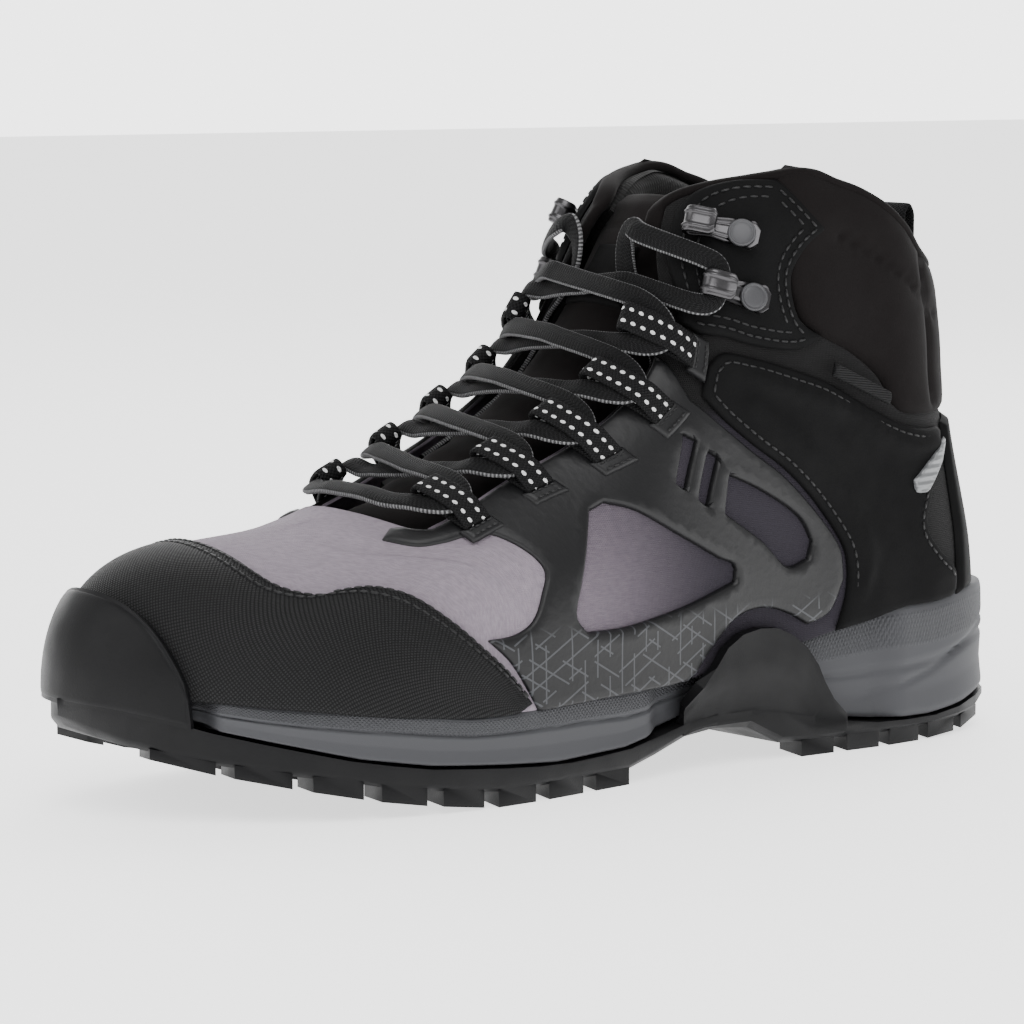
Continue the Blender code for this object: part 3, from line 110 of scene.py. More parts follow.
BUMPER_TOP = [(286.5, 34), (287, 37.5), (288.5, 43), (290, 48), (291.5, 52), (293.5, 55.5)]
WIDTH_T = [0, 60, 90, 110, 130, 165, 200, 230, 260, 285, 300, 312]
WIDTH_Z = [30, 60, 90, 120, 150, 170]
WIDTH_LATERAL = [[37, 37, 38, 39.5, 42, 47.5, 51, 51.5, 48.5, 42, 36, 30],
                 [37.5, 38, 39, 41, 43.5, 49, 52, 52.5, 49.5, 43, 36, 30],
                 [36, 38, 40, 41, 42, 44, 46, 46, 46, 43, 36, 30],
                 [36, 38.5, 39.5, 39, 38.5, 38, 38, 38, 38, 38, 36, 30],
                 [35, 38, 38, 37, 36, 36, 36, 36, 36, 36, 36, 30],
                 [34, 36, 36, 35, 35, 35, 35, 35, 35, 35, 35, 30]]
WIDTH_MEDIAL = [[35, 34, 34, 34.5, 36, 41, 45, 46.5, 44, 39, 34, 30],
                [36, 36, 36, 37, 39, 43, 46.5, 47.5, 45, 40, 34, 30],
                [35, 37, 38, 39, 40, 42, 44, 44, 44, 40, 34, 30],
                [35, 38, 39, 38.5, 38, 38, 38, 38, 38, 38, 34, 30],
                [35, 38, 38, 37, 36, 36, 36, 36, 36, 36, 34, 30],
                [34, 36, 36, 35, 35, 35, 35, 35, 35, 35, 34, 30]]
CENTRE_T = [0, 60, 120, 200, 260, 300, 312]
CENTRE_X_OFFSET = [0, 0, 1, 2.5, 0.5, -5, -7]
SOLE_LATERAL = [(0, 0), (3, 14), (12, 25), (27, 34), (50, 38.5), (95, 40), (130, 42.5),
                (165, 49), (200, 55), (230, 55.6), (260, 49), (285, 34.5), (300, 19), (308, -4)]
SOLE_MEDIAL = [(0, 0), (3, -14), (12, -24), (27, -32), (50, -35), (95, -35), (130, -36),
               (165, -42), (200, -48.5), (230, -50), (260, -46), (285, -35.5), (300, -23),
               (308, -4)]
TREAD_TOP = [(0, 11), (15, 10.3), (27, 8.4), (42, 6.9), (62, 7.2), (76, 9), (93, 12.5),
             (110, 15.5), (130, 15.5), (145, 12.5), (160, 9.8), (186, 9.1), (206, 10.6),
             (229, 12.6), (249, 15.8), (267, 20.2), (282, 24), (294, 28), (308, 31)]
DISH_FLOOR = [(0, 35), (30, 34.5), (60, 32.5), (90, 29), (120, 24.5), (150, 20.5), (180, 18.8),
              (206, 18.5), (230, 19.5), (250, 21.5), (270, 25), (290, 29.5), (308, 32)]


def cubic(xs, ys, x):
    """Smooth curve through (xs, ys), evaluated at x."""
    xs = np.asarray(xs, float)
    ys = np.asarray(ys, float)
    slopes = np.gradient(ys, xs)
    x = np.clip(x, xs[0], xs[-1])
    i = np.clip(np.searchsorted(xs, x, side="right") - 1, 0, len(xs) - 2)
    h = xs[i + 1] - xs[i]
    s = (x - xs[i]) / h
    return ((2 * s**3 - 3 * s**2 + 1) * ys[i] + (s**3 - 2 * s**2 + s) * h * slopes[i]
            + (3 * s**2 - 2 * s**3) * ys[i + 1] + (s**3 - s**2) * h * slopes[i + 1])


def height_at(line, t):
    """Height z of a side-view line given as (t, z) points in any order."""
    ordered = sorted(line)
    return np.interp(t, [p[0] for p in ordered], [p[1] for p in ordered])


def smooth_line(points, count):
    """A smooth curve through the points, resampled evenly by length."""
    points = np.asarray(points, float)
    if len(points) > 2:
        steps = np.linalg.norm(np.diff(points, axis=0), axis=1)
        knots = np.concatenate([[0], np.cumsum(np.sqrt(steps))])
        fine = np.linspace(0, knots[-1], 40 * len(points))
        points = np.stack([cubic(knots, points[:, k], fine) for k in range(points.shape[1])], 1)
    return resample(points, count)


def sample_line(points, fractions):
    """Points at fractions of a polyline's length."""
    steps = np.linalg.norm(np.diff(points, axis=0), axis=1)
    along = np.concatenate([[0], np.cumsum(steps)])
    return np.stack([np.interp(fractions * along[-1], along, points[:, k])
                     for k in range(points.shape[1])], 1)


def resample(points, count):
    """Points spaced evenly along a polyline of any dimension."""
    return sample_line(points, np.linspace(0, 1, count))


def line_distance(polyline, t, z):
    """Distance from each (t, z) to a polyline."""
    t = np.asarray(t, float)
    best = np.full(t.shape, 1e9)
    for (t0, z0), (t1, z1) in zip(polyline[:-1], polyline[1:]):
        dt, dz = t1 - t0, z1 - z0
        f = np.clip(((t - t0) * dt + (z - z0) * dz) / (dt * dt + dz * dz), 0, 1)
        best = np.minimum(best, np.hypot(t - t0 - f * dt, z - z0 - f * dz))
    return best


RIDGE_FINE = smooth_line(RIDGE, 90)


def centre_line(t):
    """Sideways position of the form's middle plane: the toe swings inwards."""
    return cubic(CENTRE_T, CENTRE_X_OFFSET, t)


def half_width(t, z, side):
    """Half width at full section, from the width table of that side."""
    table = WIDTH_LATERAL if side > 0 else WIDTH_MEDIAL
    rows = np.stack([cubic(WIDTH_T, row, t) for row in table])
    z = np.clip(z, WIDTH_Z[0], WIDTH_Z[-1])
    i = np.clip(np.searchsorted(WIDTH_Z, z, side="right") - 1, 0, len(WIDTH_Z) - 2)
    low = np.take_along_axis(rows, i[None], 0)[0]
    high = np.take_along_axis(rows, i[None] + 1, 0)[0]
    zs = np.asarray(WIDTH_Z, float)
    f = (z - zs[i]) / (zs[i + 1] - zs[i])
    return low + (high - low) * f * f * (3 - 2 * f)


def heel_t(z):
    """Length position of the heel line at a height."""
    return cubic([p[1] for p in HEEL_LINE], [p[0] for p in HEEL_LINE], z)


def closeness(t, z):
    """1 on the side-view outline of the form, below 1 inside it."""
    ridge_depth = cubic([0, 135, 150, 175, 210, 330], [36, 36, 42, 52, 46, 42], t)
    a = np.clip(1 - line_distance(RIDGE_FINE, t, z) / ridge_depth, 0, 1)
    b = np.clip((t - TOE_TIP + TOE_DEPTH) / TOE_DEPTH, 0, None)
    c = np.clip(1 - (t - heel_t(z)) / HEEL_DEPTH, 0, None)
    return a**RIDGE_POWER + b**TOE_POWER + c**2


def on_form(t, z, side):
    """Point of the form's surface at (t, z) on one side, as (x, y, z)."""
    t = np.asarray(t, float)
    z = np.asarray(z, float)
    t, z = np.broadcast_arrays(t, z)
    width = half_width(t, z, side) * np.sqrt(np.clip(1 - closeness(t, z), 0, 1))
    return np.stack([centre_line(t) + side * width, LENGTH / 2 - t, z], -1)


def is_inside(t, z):
    """True where a side-view place lies within the form's outline."""
    below_ridge = z < height_at(RIDGE, t)
    return bool(below_ridge and closeness(np.array([t]), np.array([z]))[0] < 1)


def outline_point(inside, outside):
    """Where the line from an inside point to an outside point crosses the form's outline."""
    low, high = 0.0, 1.0
    inside = np.asarray(inside, float)
    outside = np.asarray(outside, float)
    for _ in range(40):
        middle = (low + high) / 2
        if is_inside(*(inside + (outside - inside) * middle)):
            low = middle
        else:
            high = middle
    return inside + (outside - inside) * (low - OUTLINE_MARGIN)


def toe_outline(t_start, z_end, count=60, inward=0.0):
    """Side-view outline of the form from the ridge at t_start round the toe down to z_end.

    It can keep inward of the true edge, where the surface stands upright.
    """
    pivot = np.array([240.0, 40.0])
    first = math.atan2(float(height_at(RIDGE, t_start)) - pivot[1], t_start - pivot[0])
    last = math.atan2(z_end - pivot[1], TOE_TIP - pivot[0])
    rays = [(math.cos(a), math.sin(a)) for a in np.linspace(first, last, count)]
    return np.array([outline_point(pivot, pivot + 120 * np.array(ray)) - inward * np.array(ray)
                     for ray in rays])


def along_line(points, fractions):
    """Points at the given fractions of a smooth line's length."""
    line = smooth_line(points, 240)
    k = np.linspace(0, 1, len(line))
    return np.stack([np.interp(fractions, k, line[:, i]) for i in (0, 1)], 1)


def toe_patch(rear, low, outline, rows, columns):
    """Grid over the toe, filled in side view between four edges (a Coons patch).

    rear runs from the low corner up to the outline, low runs from that corner forward to the
    outline's end, and outline joins the two. The lateral half is followed by the medial half.
    """
    q = 1 - (1 - np.linspace(0, 1, 80))**2
    v = np.linspace(0, 1, 50)
    rear = [tuple(point) for point in rear] + [tuple(outline[0])]
    low = [tuple(point) for point in low] + [tuple(outline[-1])]
    back, front = along_line(rear, q)[None], along_line(low, q)[None]
    start, end = along_line([rear[0], low[0]], v)[:, None], along_line(outline, v)[:, None]
    q, v = q[None, :, None], v[:, None, None]
    corners = ((1 - v) * ((1 - q) * back[:, :1] + q * back[:, -1:])
               + v * ((1 - q) * front[:, :1] + q * front[:, -1:]))
    tz = (1 - v) * back + v * front + (1 - q) * start + q * end - corners
    lateral = on_form(tz[..., 0], tz[..., 1], 1)
    medial = on_form(tz[..., 0], tz[..., 1], -1)[:, ::-1]
    return spaced_grid(np.concatenate([lateral, medial[:, 1:]], 1), rows, columns)


def unrolled(points):
    """Side-view points as (distance round from the heel's middle line, z)."""
    t, z = np.asarray(points, float).T
    depth = t - heel_t(z)
    angle = np.arccos(np.clip(1 - depth / HEEL_DEPTH, 0, 1))
    around = np.where(depth < HEEL_DEPTH, HEEL_RADIUS * angle, HEEL_ARC + depth - HEEL_DEPTH)
    return np.stack([around, z], 1)


def rolled(around, z):
    """Form point at a distance round from the heel: lateral where positive, medial below 0."""
    reach = np.abs(around)
    depth = np.where(reach < HEEL_ARC, HEEL_DEPTH * (1 - np.cos(reach / HEEL_RADIUS)),
                     reach - HEEL_ARC + HEEL_DEPTH)
    t = heel_t(z) + depth
    return np.where((around >= 0)[..., None], on_form(t, z, 1), on_form(t, z, -1))


def rolled_lifted(around, z, lift):
    """Form point at a distance round from the heel, at a height above the form."""
    step = 0.3
    forward = rolled(around + step, z) - rolled(around - step, z)
    up = rolled(around, z + step) - rolled(around, z - step)
    normal = np.cross(up, forward)
    normal /= np.linalg.norm(normal, axis=-1, keepdims=True)
    return rolled(around, z) + normal * lift


def wrap_grid(top, low, rows, columns):
    """Unrolled grid from a lateral front edge round the heel to the medial front edge."""
    lines = []
    for line in (top, low):
        lateral = unrolled(line)
        both = np.concatenate([lateral, lateral[::-1][1:] * [-1, 1]])
        lines.append(smooth_line(both, rows))
    f = np.linspace(0, 1, columns)[None, :, None]
    return lines[0][:, None] * (1 - f) + lines[1][:, None] * f


def grid_normals(grid):
    """Unit normals of a grid, pointing away from the boot's inside."""
    rows = np.gradient(grid, axis=0)
    columns = np.gradient(grid, axis=1)
    normals = np.cross(rows, columns)
    normals /= np.maximum(np.linalg.norm(normals, axis=-1, keepdims=True), 1e-9)
    core = grid.copy()
    core[..., 0] = centre_line(LENGTH / 2 - grid[..., 1])
    core[..., 2] = 45.0
    core[..., 1] = np.clip(grid[..., 1], LENGTH / 2 - 255, LENGTH / 2 - 60)
    votes = np.sum(normals * (grid - core), axis=-1)
    return normals if np.sum(votes) > 0 else -normals


def grid_faces(rows, columns, first=0, closed=False):
    """Quads of a grid of points, row by row; closed joins the last column to the first."""
    faces = []
    last = columns if closed else columns - 1
    for i in range(rows - 1):
        for j in range(last):
            k = (j + 1) % columns
            a, b = first + i * columns, first + (i + 1) * columns
            faces.append((a + j, a + k, b + k, b + j))
    return faces


def closed_outline(runs, spacing):
    """Closed outline from smooth runs of unrolled points that meet at corners."""
    points = []
    for run in runs:
        run = np.asarray(run, float)
        length = np.sum(np.linalg.norm(np.diff(run, axis=0), axis=1))
        line = smooth_line(run, max(2, int(round(length / spacing)) + 1))
        points.extend(line[:-1])
    return np.array(points)


def inside_polygon(points, polygon):
    """True where a point lies inside a polygon."""
    x, y = points[:, 0], points[:, 1]
    hit = np.zeros(len(points), bool)
    for (x0, y0), (x1, y1) in zip(polygon, np.roll(polygon, -1, axis=0)):
        crosses = (y0 > y) != (y1 > y)
        at = x0 + (y - y0) * (x1 - x0) / np.where(y1 == y0, 1e-9, y1 - y0)
        hit ^= crosses & (x < at)
    return hit


def sole_loop(inset, count=60):
    """Plan outline of the sole, from the heel's middle round the lateral side and back."""
    lateral = smooth_line(SOLE_LATERAL, 200)
    medial = smooth_line(SOLE_MEDIAL, 200)[::-1]
    half = count // 2 + 1
    loop = np.concatenate([resample(lateral, half), resample(medial, half)[1:-1]])
    return inset_loop(loop, inset)


def inset_loop(loop, inset):
    """Move a closed (t, x) loop inwards by a fixed or pointwise distance."""
    tangent = np.roll(loop, -1, axis=0) - np.roll(loop, 1, axis=0)
    tangent /= np.linalg.norm(tangent, axis=1, keepdims=True)
    inward = np.stack([tangent[:, 1], -tangent[:, 0]], 1)
    return loop + inward * np.reshape(inset, (-1, 1))


def form_loop(inset, height_line, count=60):
    """Plan loop of the upper's form at the heights of a side-view line, moved inwards."""
    ts = np.concatenate([np.linspace(0, 60, 240)[:-1], np.linspace(60, 240, 120)[:-1],
                         np.linspace(240, 304, 240)])
    zs = height_at(height_line, ts)
    keep = closeness(ts, zs) < 1
    sides = []
    for side in (1, -1):
        points = on_form(ts[keep], zs[keep], side)
        points = np.stack([LENGTH / 2 - points[:, 1], points[:, 0]], 1)
        ends = points[[0, -1]].copy()
        ends[:, 1] = centre_line(ends[:, 0])
        points = np.concatenate([ends[:1], points, ends[1:]])
        sides.append(resample(points, count // 2 + 1))
    return inset_loop(np.concatenate([sides[0], sides[1][::-1][1:-1]]), inset)


def ring(loop, z):
    """3-D ring from a (t, x) loop and a height or a side-view line."""
    heights = height_at(z, loop[:, 0]) if isinstance(z, list) else np.asarray(z, float)
    return np.stack([loop[:, 1], LENGTH / 2 - loop[:, 0], heights * np.ones(len(loop))], 1)


def raised(line, dz):
    """A side-view line moved up by dz."""
    return [(t, z + dz) for t, z in line]


def bump(t, start, end, ramp):
    """1 between start and end, falling to 0 over a ramp on both sides."""
    rise = np.clip((t - start + ramp) / ramp, 0, 1)
    fall = np.clip((end + ramp - t) / ramp, 0, 1)
    f = rise * fall
    return f * f * (3 - 2 * f)


def feather_run(t_start, t_end, dz, count=12):
    """Piece of the feather line from one length to another, raised by dz."""
    ts = np.linspace(t_start, t_end, count)
    return np.stack([ts, height_at(FEATHER, ts) + dz], 1)


def toe_feather(t_start, dz):
    """Low edge of a toe piece: the feather line from t_start forwards, raised by dz."""
    return [tuple(point) for point in feather_run(t_start, 296, dz, 8)]


def on_heel(z):
    """Side-view place on the heel's middle line."""
    return (float(heel_t(z)), z)


def outline_of(runs, spacing):
    """Closed unrolled outline from side-view runs."""
    return closed_outline([unrolled(run) for run in runs], spacing)


def side_outlines():
    """Side panels: outlines of overlay, windows, saddle and cuff."""
    spacing = 1.8
    throat = smooth_line(THROAT_EDGE, 40)
    throat = throat[throat[:, 1] < 119] + [0.3, -1.2]
    overlay = outline_of([
        throat,
        [throat[-1], (137, 113), (134, 104)],
        [(134, 104), (126, 98), (113, 89), (102, 82), (90, 72), (83, 65), (78.5, 59), (77, 50)],
        [(77, 50), (82, 41), (90, 38)],
        [(90, 38), (98, 42), (108, 44.5), (118, 43), (127, 36), (136, 26.8)],
        feather_run(136, 194, -0.8, 30),
        [(194, 24.7), (203, 38), (211, 45.2)],
        [(211, 45.2), (202, 46), (196, 49), (192, 56), (190, 62), (194, 67), (202, 71.2),
         (214, 69.3), (221, 68.5), (228, 70)],
        [(228, 70), throat[0]]], spacing)
    triangle = outline_of([
        [(166, 78), (158, 76), (144, 69), (126, 60)],
        [(126, 60), (120, 57.5), (120, 53)],
        [(120, 53), (136, 48.5), (150, 46), (163, 44.5), (177, 44.5)],
        [(177, 44.5), (181, 49), (179, 57), (175, 67), (171, 76)],
        [(171, 76), (166, 78)]], spacing)
    parallelogram = outline_of([
        [(122, 83), (109, 77.5), (94, 68.5), (89.5, 62)],
        [(89.5, 62), (91, 57)],
        [(91, 57), (99, 55.5), (110, 64), (124, 72.5)],
        [(124, 72.5), (122, 83)]], spacing)
    bars = [outline_of([[(t, z), (t + 4, z + 2)], [(t + 4, z + 2), (t + 8, z - 11)],
                        [(t + 8, z - 11), (t + 4.5, z - 13)], [(t + 4.5, z - 13), (t, z)]], spacing)
            for t, z in ((134, 93), (126, 88))]
    saddle = outline_of([
        [(127, 113), (122, 116.5), (112, 115), (94, 110), (85, 107), (62, 96), (50, 92), (37, 91)],
        [(37, 91), (39, 82), (44, 70), (45, 62), (39, 55), (32, 49), (32, 41.7)],
        [(32, 41.7), (41, 40.7), (53, 40), (66, 37.2), (79, 35.2)],
        [(79, 35.2), (75.5, 46), (75.5, 54), (77.5, 60), (89, 73.5), (101, 83.5), (113, 91),
         (124, 99), (130, 105)],
        [(130, 105), (127, 113)]], spacing)
    cuff = outline_of([
        [(132.6, 125), (130.5, 134), (128.5, 146), (124, 155)],
        [(124, 155), (118, 160.5), (110, 163.5), (99, 164)],
        [(99, 164), (92, 157), (84, 150)],
        [(84, 150), (93, 143.5), (97.5, 136), (95, 125), (86, 119.5)],
        [(86, 119.5), (96, 116.5), (112, 118.5), (121, 121), (128, 122)],
        [(128, 122), (132.6, 125)]], spacing)
    return overlay, [triangle, parallelogram] + bars, saddle, cuff


EDGE_FINE = smooth_line(THROAT_EDGE, 160)
RIDGE_DENSE = smooth_line(RIDGE, 900)
RIDGE_MATCH = np.array([RIDGE_DENSE[np.argmin(np.linalg.norm(RIDGE_DENSE - p, axis=1))]
                        for p in smooth_line(THROAT_RIDGE, 160)])
EDGE_LENGTH = float(np.sum(np.linalg.norm(np.diff(EDGE_FINE, axis=0), axis=1)))


def throat_tz(s, w):
    """Side-view place at s millimetres up the throat edge and w across it.

    w is 0 on the ridge and 1 on the eyestay edge, and grows evenly round the form.
    """
    f = np.clip(np.asarray(s, float) / EDGE_LENGTH, 0, 1) * (len(EDGE_FINE) - 1)
    k = np.arange(len(EDGE_FINE))
    edge = np.stack([np.interp(f, k, EDGE_FINE[:, i]) for i in (0, 1)], -1)
    ridge = np.stack([np.interp(f, k, RIDGE_MATCH[:, i]) for i in (0, 1)], -1)
    return ridge + (edge - ridge) * (np.asarray(w, float)**2)[..., None]


def throat_base(s, w):
    """Form point at (s, w) over the throat."""
    tz = throat_tz(s, w)
    lateral = on_form(tz[..., 0], tz[..., 1], 1)
    medial = on_form(tz[..., 0], tz[..., 1], -1)
    return np.where((w >= 0)[..., None], lateral, medial)


def throat_point(s, w, lift):
    """Point and normal over the throat at (s, w), lifted off the form."""
    s, w, lift = np.broadcast_arrays(*(np.asarray(v, float) for v in (s, w, lift)))
    across = throat_base(s, w + 0.09) - throat_base(s, w - 0.09)
    up = throat_base(s + 0.5, w) - throat_base(s - 0.5, w)
    normals = np.cross(across, up)
    normals /= np.linalg.norm(normals, axis=-1, keepdims=True)
    return throat_base(s, w) + normals * lift[..., None], normals


LOOP_S = (15.5, 37.5, 59.0, 79.6, 99.8)
HOOK_S = 119.5
TONGUE_HALF = 1.28
HOOK_SEAT = ((4.6, 6.7, 6.5), (1.5, 6.0, 6.6), (-0.3, 4.4, 6.6), (-0.8, 1.6, 6.6))
TUCK = ((7.0, 0.88, 6.2), (8.4, 0.7, 4.6), (5.2, 0.56, 1.6), (-1.5, 0.52, -1.8), (-8, 0.62, -3.6),
        (-16, 0.86, -3.8), (-26, 1.08, -3.8), (-38, 1.1, -3.8), (-50, 1.1, -3.8),
        (-63, 1.1, -3.8), (-76, 1.1, -3.8))


def tongue_grid(s_low, s_high, rows, columns, half=TONGUE_HALF, extra=0.0):
    """Grid over the throat from s_low to s_high; extra continues it upwards past the edge."""
    s = np.linspace(s_low, s_high, rows)
    w = np.linspace(half, -half, columns)
    grid, _ = throat_point(s[:, None] + 0 * w, w[None] + 0 * s[:, None], 0.0)
    if extra:
        step = grid[-1] - grid[-2]
        step = step.mean(0) / np.linalg.norm(step.mean(0))
        lean = np.array([0.0, 0.35, 0.0])
        top = grid[-1] + (step + lean) * extra
        grid = np.concatenate([grid, [top]])
    return grid


def strap_path(side, s, stations, width):
    """Edges of a strap that runs across the throat edge, from (w, lift) stations."""
    rows = []
    for w, lift in stations:
        point, _ = throat_point(np.array([s - width / 2, s + width / 2]),
                                np.full(2, side * w), np.full(2, lift))
        rows.append(point)
    return np.array(rows)


def form_normal(t, z, side):
    """Outward unit normal of the form at (t, z), from small steps along it."""
    step = 0.25
    along = on_form(np.add(t, step), z, side) - on_form(np.subtract(t, step), z, side)
    up = on_form(t, np.add(z, step), side) - on_form(t, np.subtract(z, step), side)
    normal = np.cross(along, up)
    normal *= np.where(normal[..., :1] * side < 0, -1, 1)
    return normal / np.linalg.norm(normal, axis=-1, keepdims=True)


def hook_frame(side, number):
    """Rivet centre, unit vectors along and across the hook, and the panel's normal."""
    rivet = ((112, 131), (112, 148))[number - 1]
    tip = ((124.4, 134.8), (123, 151))[number - 1]
    point = on_form(np.array([rivet[0], tip[0]]), np.array([rivet[1], tip[1]]), side)
    normal = form_normal(np.array([(rivet[0] + tip[0]) / 2]), np.array([(rivet[1] + tip[1]) / 2]),
                         side)[0]
    along = point[1] - point[0]
    length = np.linalg.norm(along)
    along = along / length
    normal = normal - along * normal.dot(along)
    normal /= np.linalg.norm(normal)
    return point[0], along, np.cross(normal, along), normal, length


def lace_lift(w, over):
    """Height of a crossing strand: it hangs from the loops and dips to the tongue."""
    base = LOOP_LIFT - 7.2 * (1 - min(abs(w), 1)**2)
    return base + (3.1 * (1 - min(max((abs(w) - 0.72) / 0.23, 0), 1)) if over else 0)


def crossing(s_from, s_to, side, over):
    """Stations of one strand that crosses from one side to the other."""
    f = np.linspace(0, 1, 9)[1:-1]
    ease = f * f * (3 - 2 * f) * 0.35 + f * 0.65
    stations = []
    for a, b in zip(f, ease):
        w = side * 0.78 * (1 - 2 * a)
        stations.append((s_from + (s_to - s_from) * b, w, lace_lift(w, over)))
    return stations


def hook_turn(side):
    """Points and normals of the lace where it lies in the lower hook."""
    origin, along, across, normal, length = hook_frame(side, 1)
    seat = length - 1.8
    half = [(seat + d, side * offset, lift) for d, offset, lift in HOOK_SEAT]
    path = np.array(half + [(d, -offset, lift) for d, offset, lift in half[::-1]])
    points = origin + path[:, :1] * along + path[:, 1:2] * across + path[:, 2:] * normal
    return points, np.tile(normal, (len(points), 1))


def lace_half(side, over_first):
    """Points and normals of one half of the lace, from the bottom bar to the tucked end."""
    stations = [(LOOP_S[0] - 9.0, side * w, BAR_LIFT + 1.6 * w) for w in (0.3, 0.6)]
    over = over_first
    lift = LOOP_LIFT + 0.15
    for s, s_next in zip(LOOP_S, LOOP_S[1:] + (HOOK_S + 0.3,)):
        stations += [(s - 7.0, side * 0.8, lift - 0.6), (s - 5, side * 0.95, lift),
                     (s - 2, side * 1.03, lift), (s + 2, side * 1.03, lift),
                     (s + 5, side * 0.95, lift), (s + 7.0, side * 0.8, lift - 0.6)]
        stations += crossing(s + 7.0, s_next - 7.0, side, over)
        side = -side
        over = not over
    tuck = [(HOOK_S + ds, side * w, lift) for ds, w, lift in TUCK]
    runs = [throat_point(*np.array(stations).T), hook_turn(side), throat_point(*np.array(tuck).T)]
    return [np.concatenate(parts) for parts in zip(*runs)]


def lace_route():
    """Whole lace from one tucked end to the other, as points and normals."""
    left = lace_half(1, True)
    right = lace_half(-1, False)
    bar = throat_point([LOOP_S[0] - 9.0], [0.0], [BAR_LIFT])
    points, normals = (np.concatenate([left[k][::-1], bar[k], right[k]]) for k in (0, 1))
    steps = np.linalg.norm(np.diff(points, axis=0), axis=1)
    knots = np.concatenate([[0], np.cumsum(np.sqrt(steps))])
    fine = np.linspace(0, knots[-1], LACE_STATIONS)
    both = np.concatenate([points, normals], 1)
    curve = np.stack([cubic(knots, both[:, k], fine) for k in range(6)], 1)
    return curve[:, :3], curve[:, 3:]


# ---------------------------------------------------------------- dense grids and rims
def along_fractions(length, count, margin=3.0):
    """Fractions of a length: four stations close to each end, the others evenly between."""
    margin = min(margin, length / 6)
    near = np.array([0, 0.12, 0.3, 0.6]) * margin / length
    middle = np.linspace(margin / length, 1 - margin / length, count - 8)
    return np.concatenate([near, middle, 1 - near[::-1]])


def spaced_grid(grid, rows, columns):
    """Resample a grid by real length, with close stations near its four edges."""
    width = np.mean(np.sum(np.linalg.norm(np.diff(grid, axis=1), axis=-1), 1))
    height = np.mean(np.sum(np.linalg.norm(np.diff(grid, axis=0), axis=-1), 0))
    across = along_fractions(width, columns)
    down = along_fractions(height, rows)
    grid = np.stack([sample_line(line, across) for line in grid])
    return np.stack([sample_line(grid[:, k], down) for k in range(columns)], 1)


def soft_ridge(grid, reach=15.0, rounds=70):
    """Average each point with its neighbours near the middle line, so no flat strip is left."""
    for _ in range(rounds):
        weight = 0.5 * bell(grid[1:-1, 1:-1, :1], reach)
        mean = (grid[1:-1, :-2] + grid[1:-1, 2:] + grid[:-2, 1:-1] + grid[2:, 1:-1]) / 4
        grid[1:-1, 1:-1] += weight * (mean - grid[1:-1, 1:-1])
        for row in (0, -1):
            mean = (grid[row, :-2] + grid[row, 2:]) / 2
            grid[row, 1:-1] += 0.5 * bell(grid[row, 1:-1, :1], reach) * (mean - grid[row, 1:-1])
    return grid


def grid_lengths(grid):
    """Distances along both directions of a grid, from its first row and first column."""
    right = np.linalg.norm(np.diff(grid, axis=1), axis=-1)
    down = np.linalg.norm(np.diff(grid, axis=0), axis=-1)
    u = np.concatenate([np.zeros((len(grid), 1)), np.cumsum(right, 1)], 1)
    v = np.concatenate([np.zeros((1, grid.shape[1])), np.cumsum(down, 0)], 0)
    return u, v


def rim_distance(grid):
    """Distance of each grid point to the nearest of the grid's four edges, along the grid."""
    u, v = grid_lengths(grid)
    return np.minimum(np.minimum(u, u[:, -1:] - u), np.minimum(v, v[-1:] - v))


def rounded(distance, radius):
    """Quarter-circle rise from 0 at the rim to 1 a radius away from it."""
    f = np.clip(distance / radius, 0, 1)
    return np.sqrt(1 - (1 - f)**2)


def bell(x, width):
    """Smooth hump of height 1 that falls off over a width."""
    return np.exp(-(x / width)**2)


# ---------------------------------------------------------------- meshes
def add_piece(name, points, faces, material, uv=None, body="boot", slot=None, replaces=()):
    """New object from points in millimetres, joined to its body and CAD nodes; the slot is not
    used.
    """
    mesh = bpy.data.meshes.new(name)
    places = (np.asarray(points, float) - [CENTRE_X, 0, 0]) * MM
    mesh.from_pydata(places.tolist(), [], [tuple(int(k) for k in f) for f in faces])
    work = bmesh.new()
    work.from_mesh(mesh)
    bmesh.ops.recalc_face_normals(work, faces=work.faces)
    if work.calc_volume(signed=True) < 0:
        bmesh.ops.reverse_faces(work, faces=work.faces)
    work.to_mesh(mesh)
    work.free()
    if uv is not None:
        corner = np.empty(len(mesh.loops), int)
        mesh.loops.foreach_get("vertex_index", corner)
        layer = mesh.uv_layers.new(name="surface")
        layer.data.foreach_set("uv", np.asarray(uv, float).reshape(-1, 2)[corner].ravel())
    mesh.shade_smooth()
    mesh.set_sharp_from_angle(angle=math.radians(50))
    mesh.materials.append(material)
    obj = bpy.data.objects.new(name, mesh)
    bpy.context.scene.collection.objects.link(obj)
    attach(obj, body)
    if replaces:
        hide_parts(*replaces)
    return obj


def two_sided(outer, inner):
    """Points and faces of a closed solid between two grids of equal size."""
    rows, columns = outer.shape[:2]
    count = rows * columns
    faces = grid_faces(rows, columns) + [f[::-1] for f in grid_faces(rows, columns, count)]
    rim = list(range(columns)) + [i * columns + columns - 1 for i in range(1, rows)]
    rim += [(rows - 1) * columns + j for j in range(columns - 2, -1, -1)]
    rim += [i * columns for i in range(rows - 2, 0, -1)]
    faces += [(a, b, b + count, a + count) for a, b in zip(rim, rim[1:] + rim[:1])]
    return np.concatenate([outer.reshape(-1, 3), inner.reshape(-1, 3)]), faces


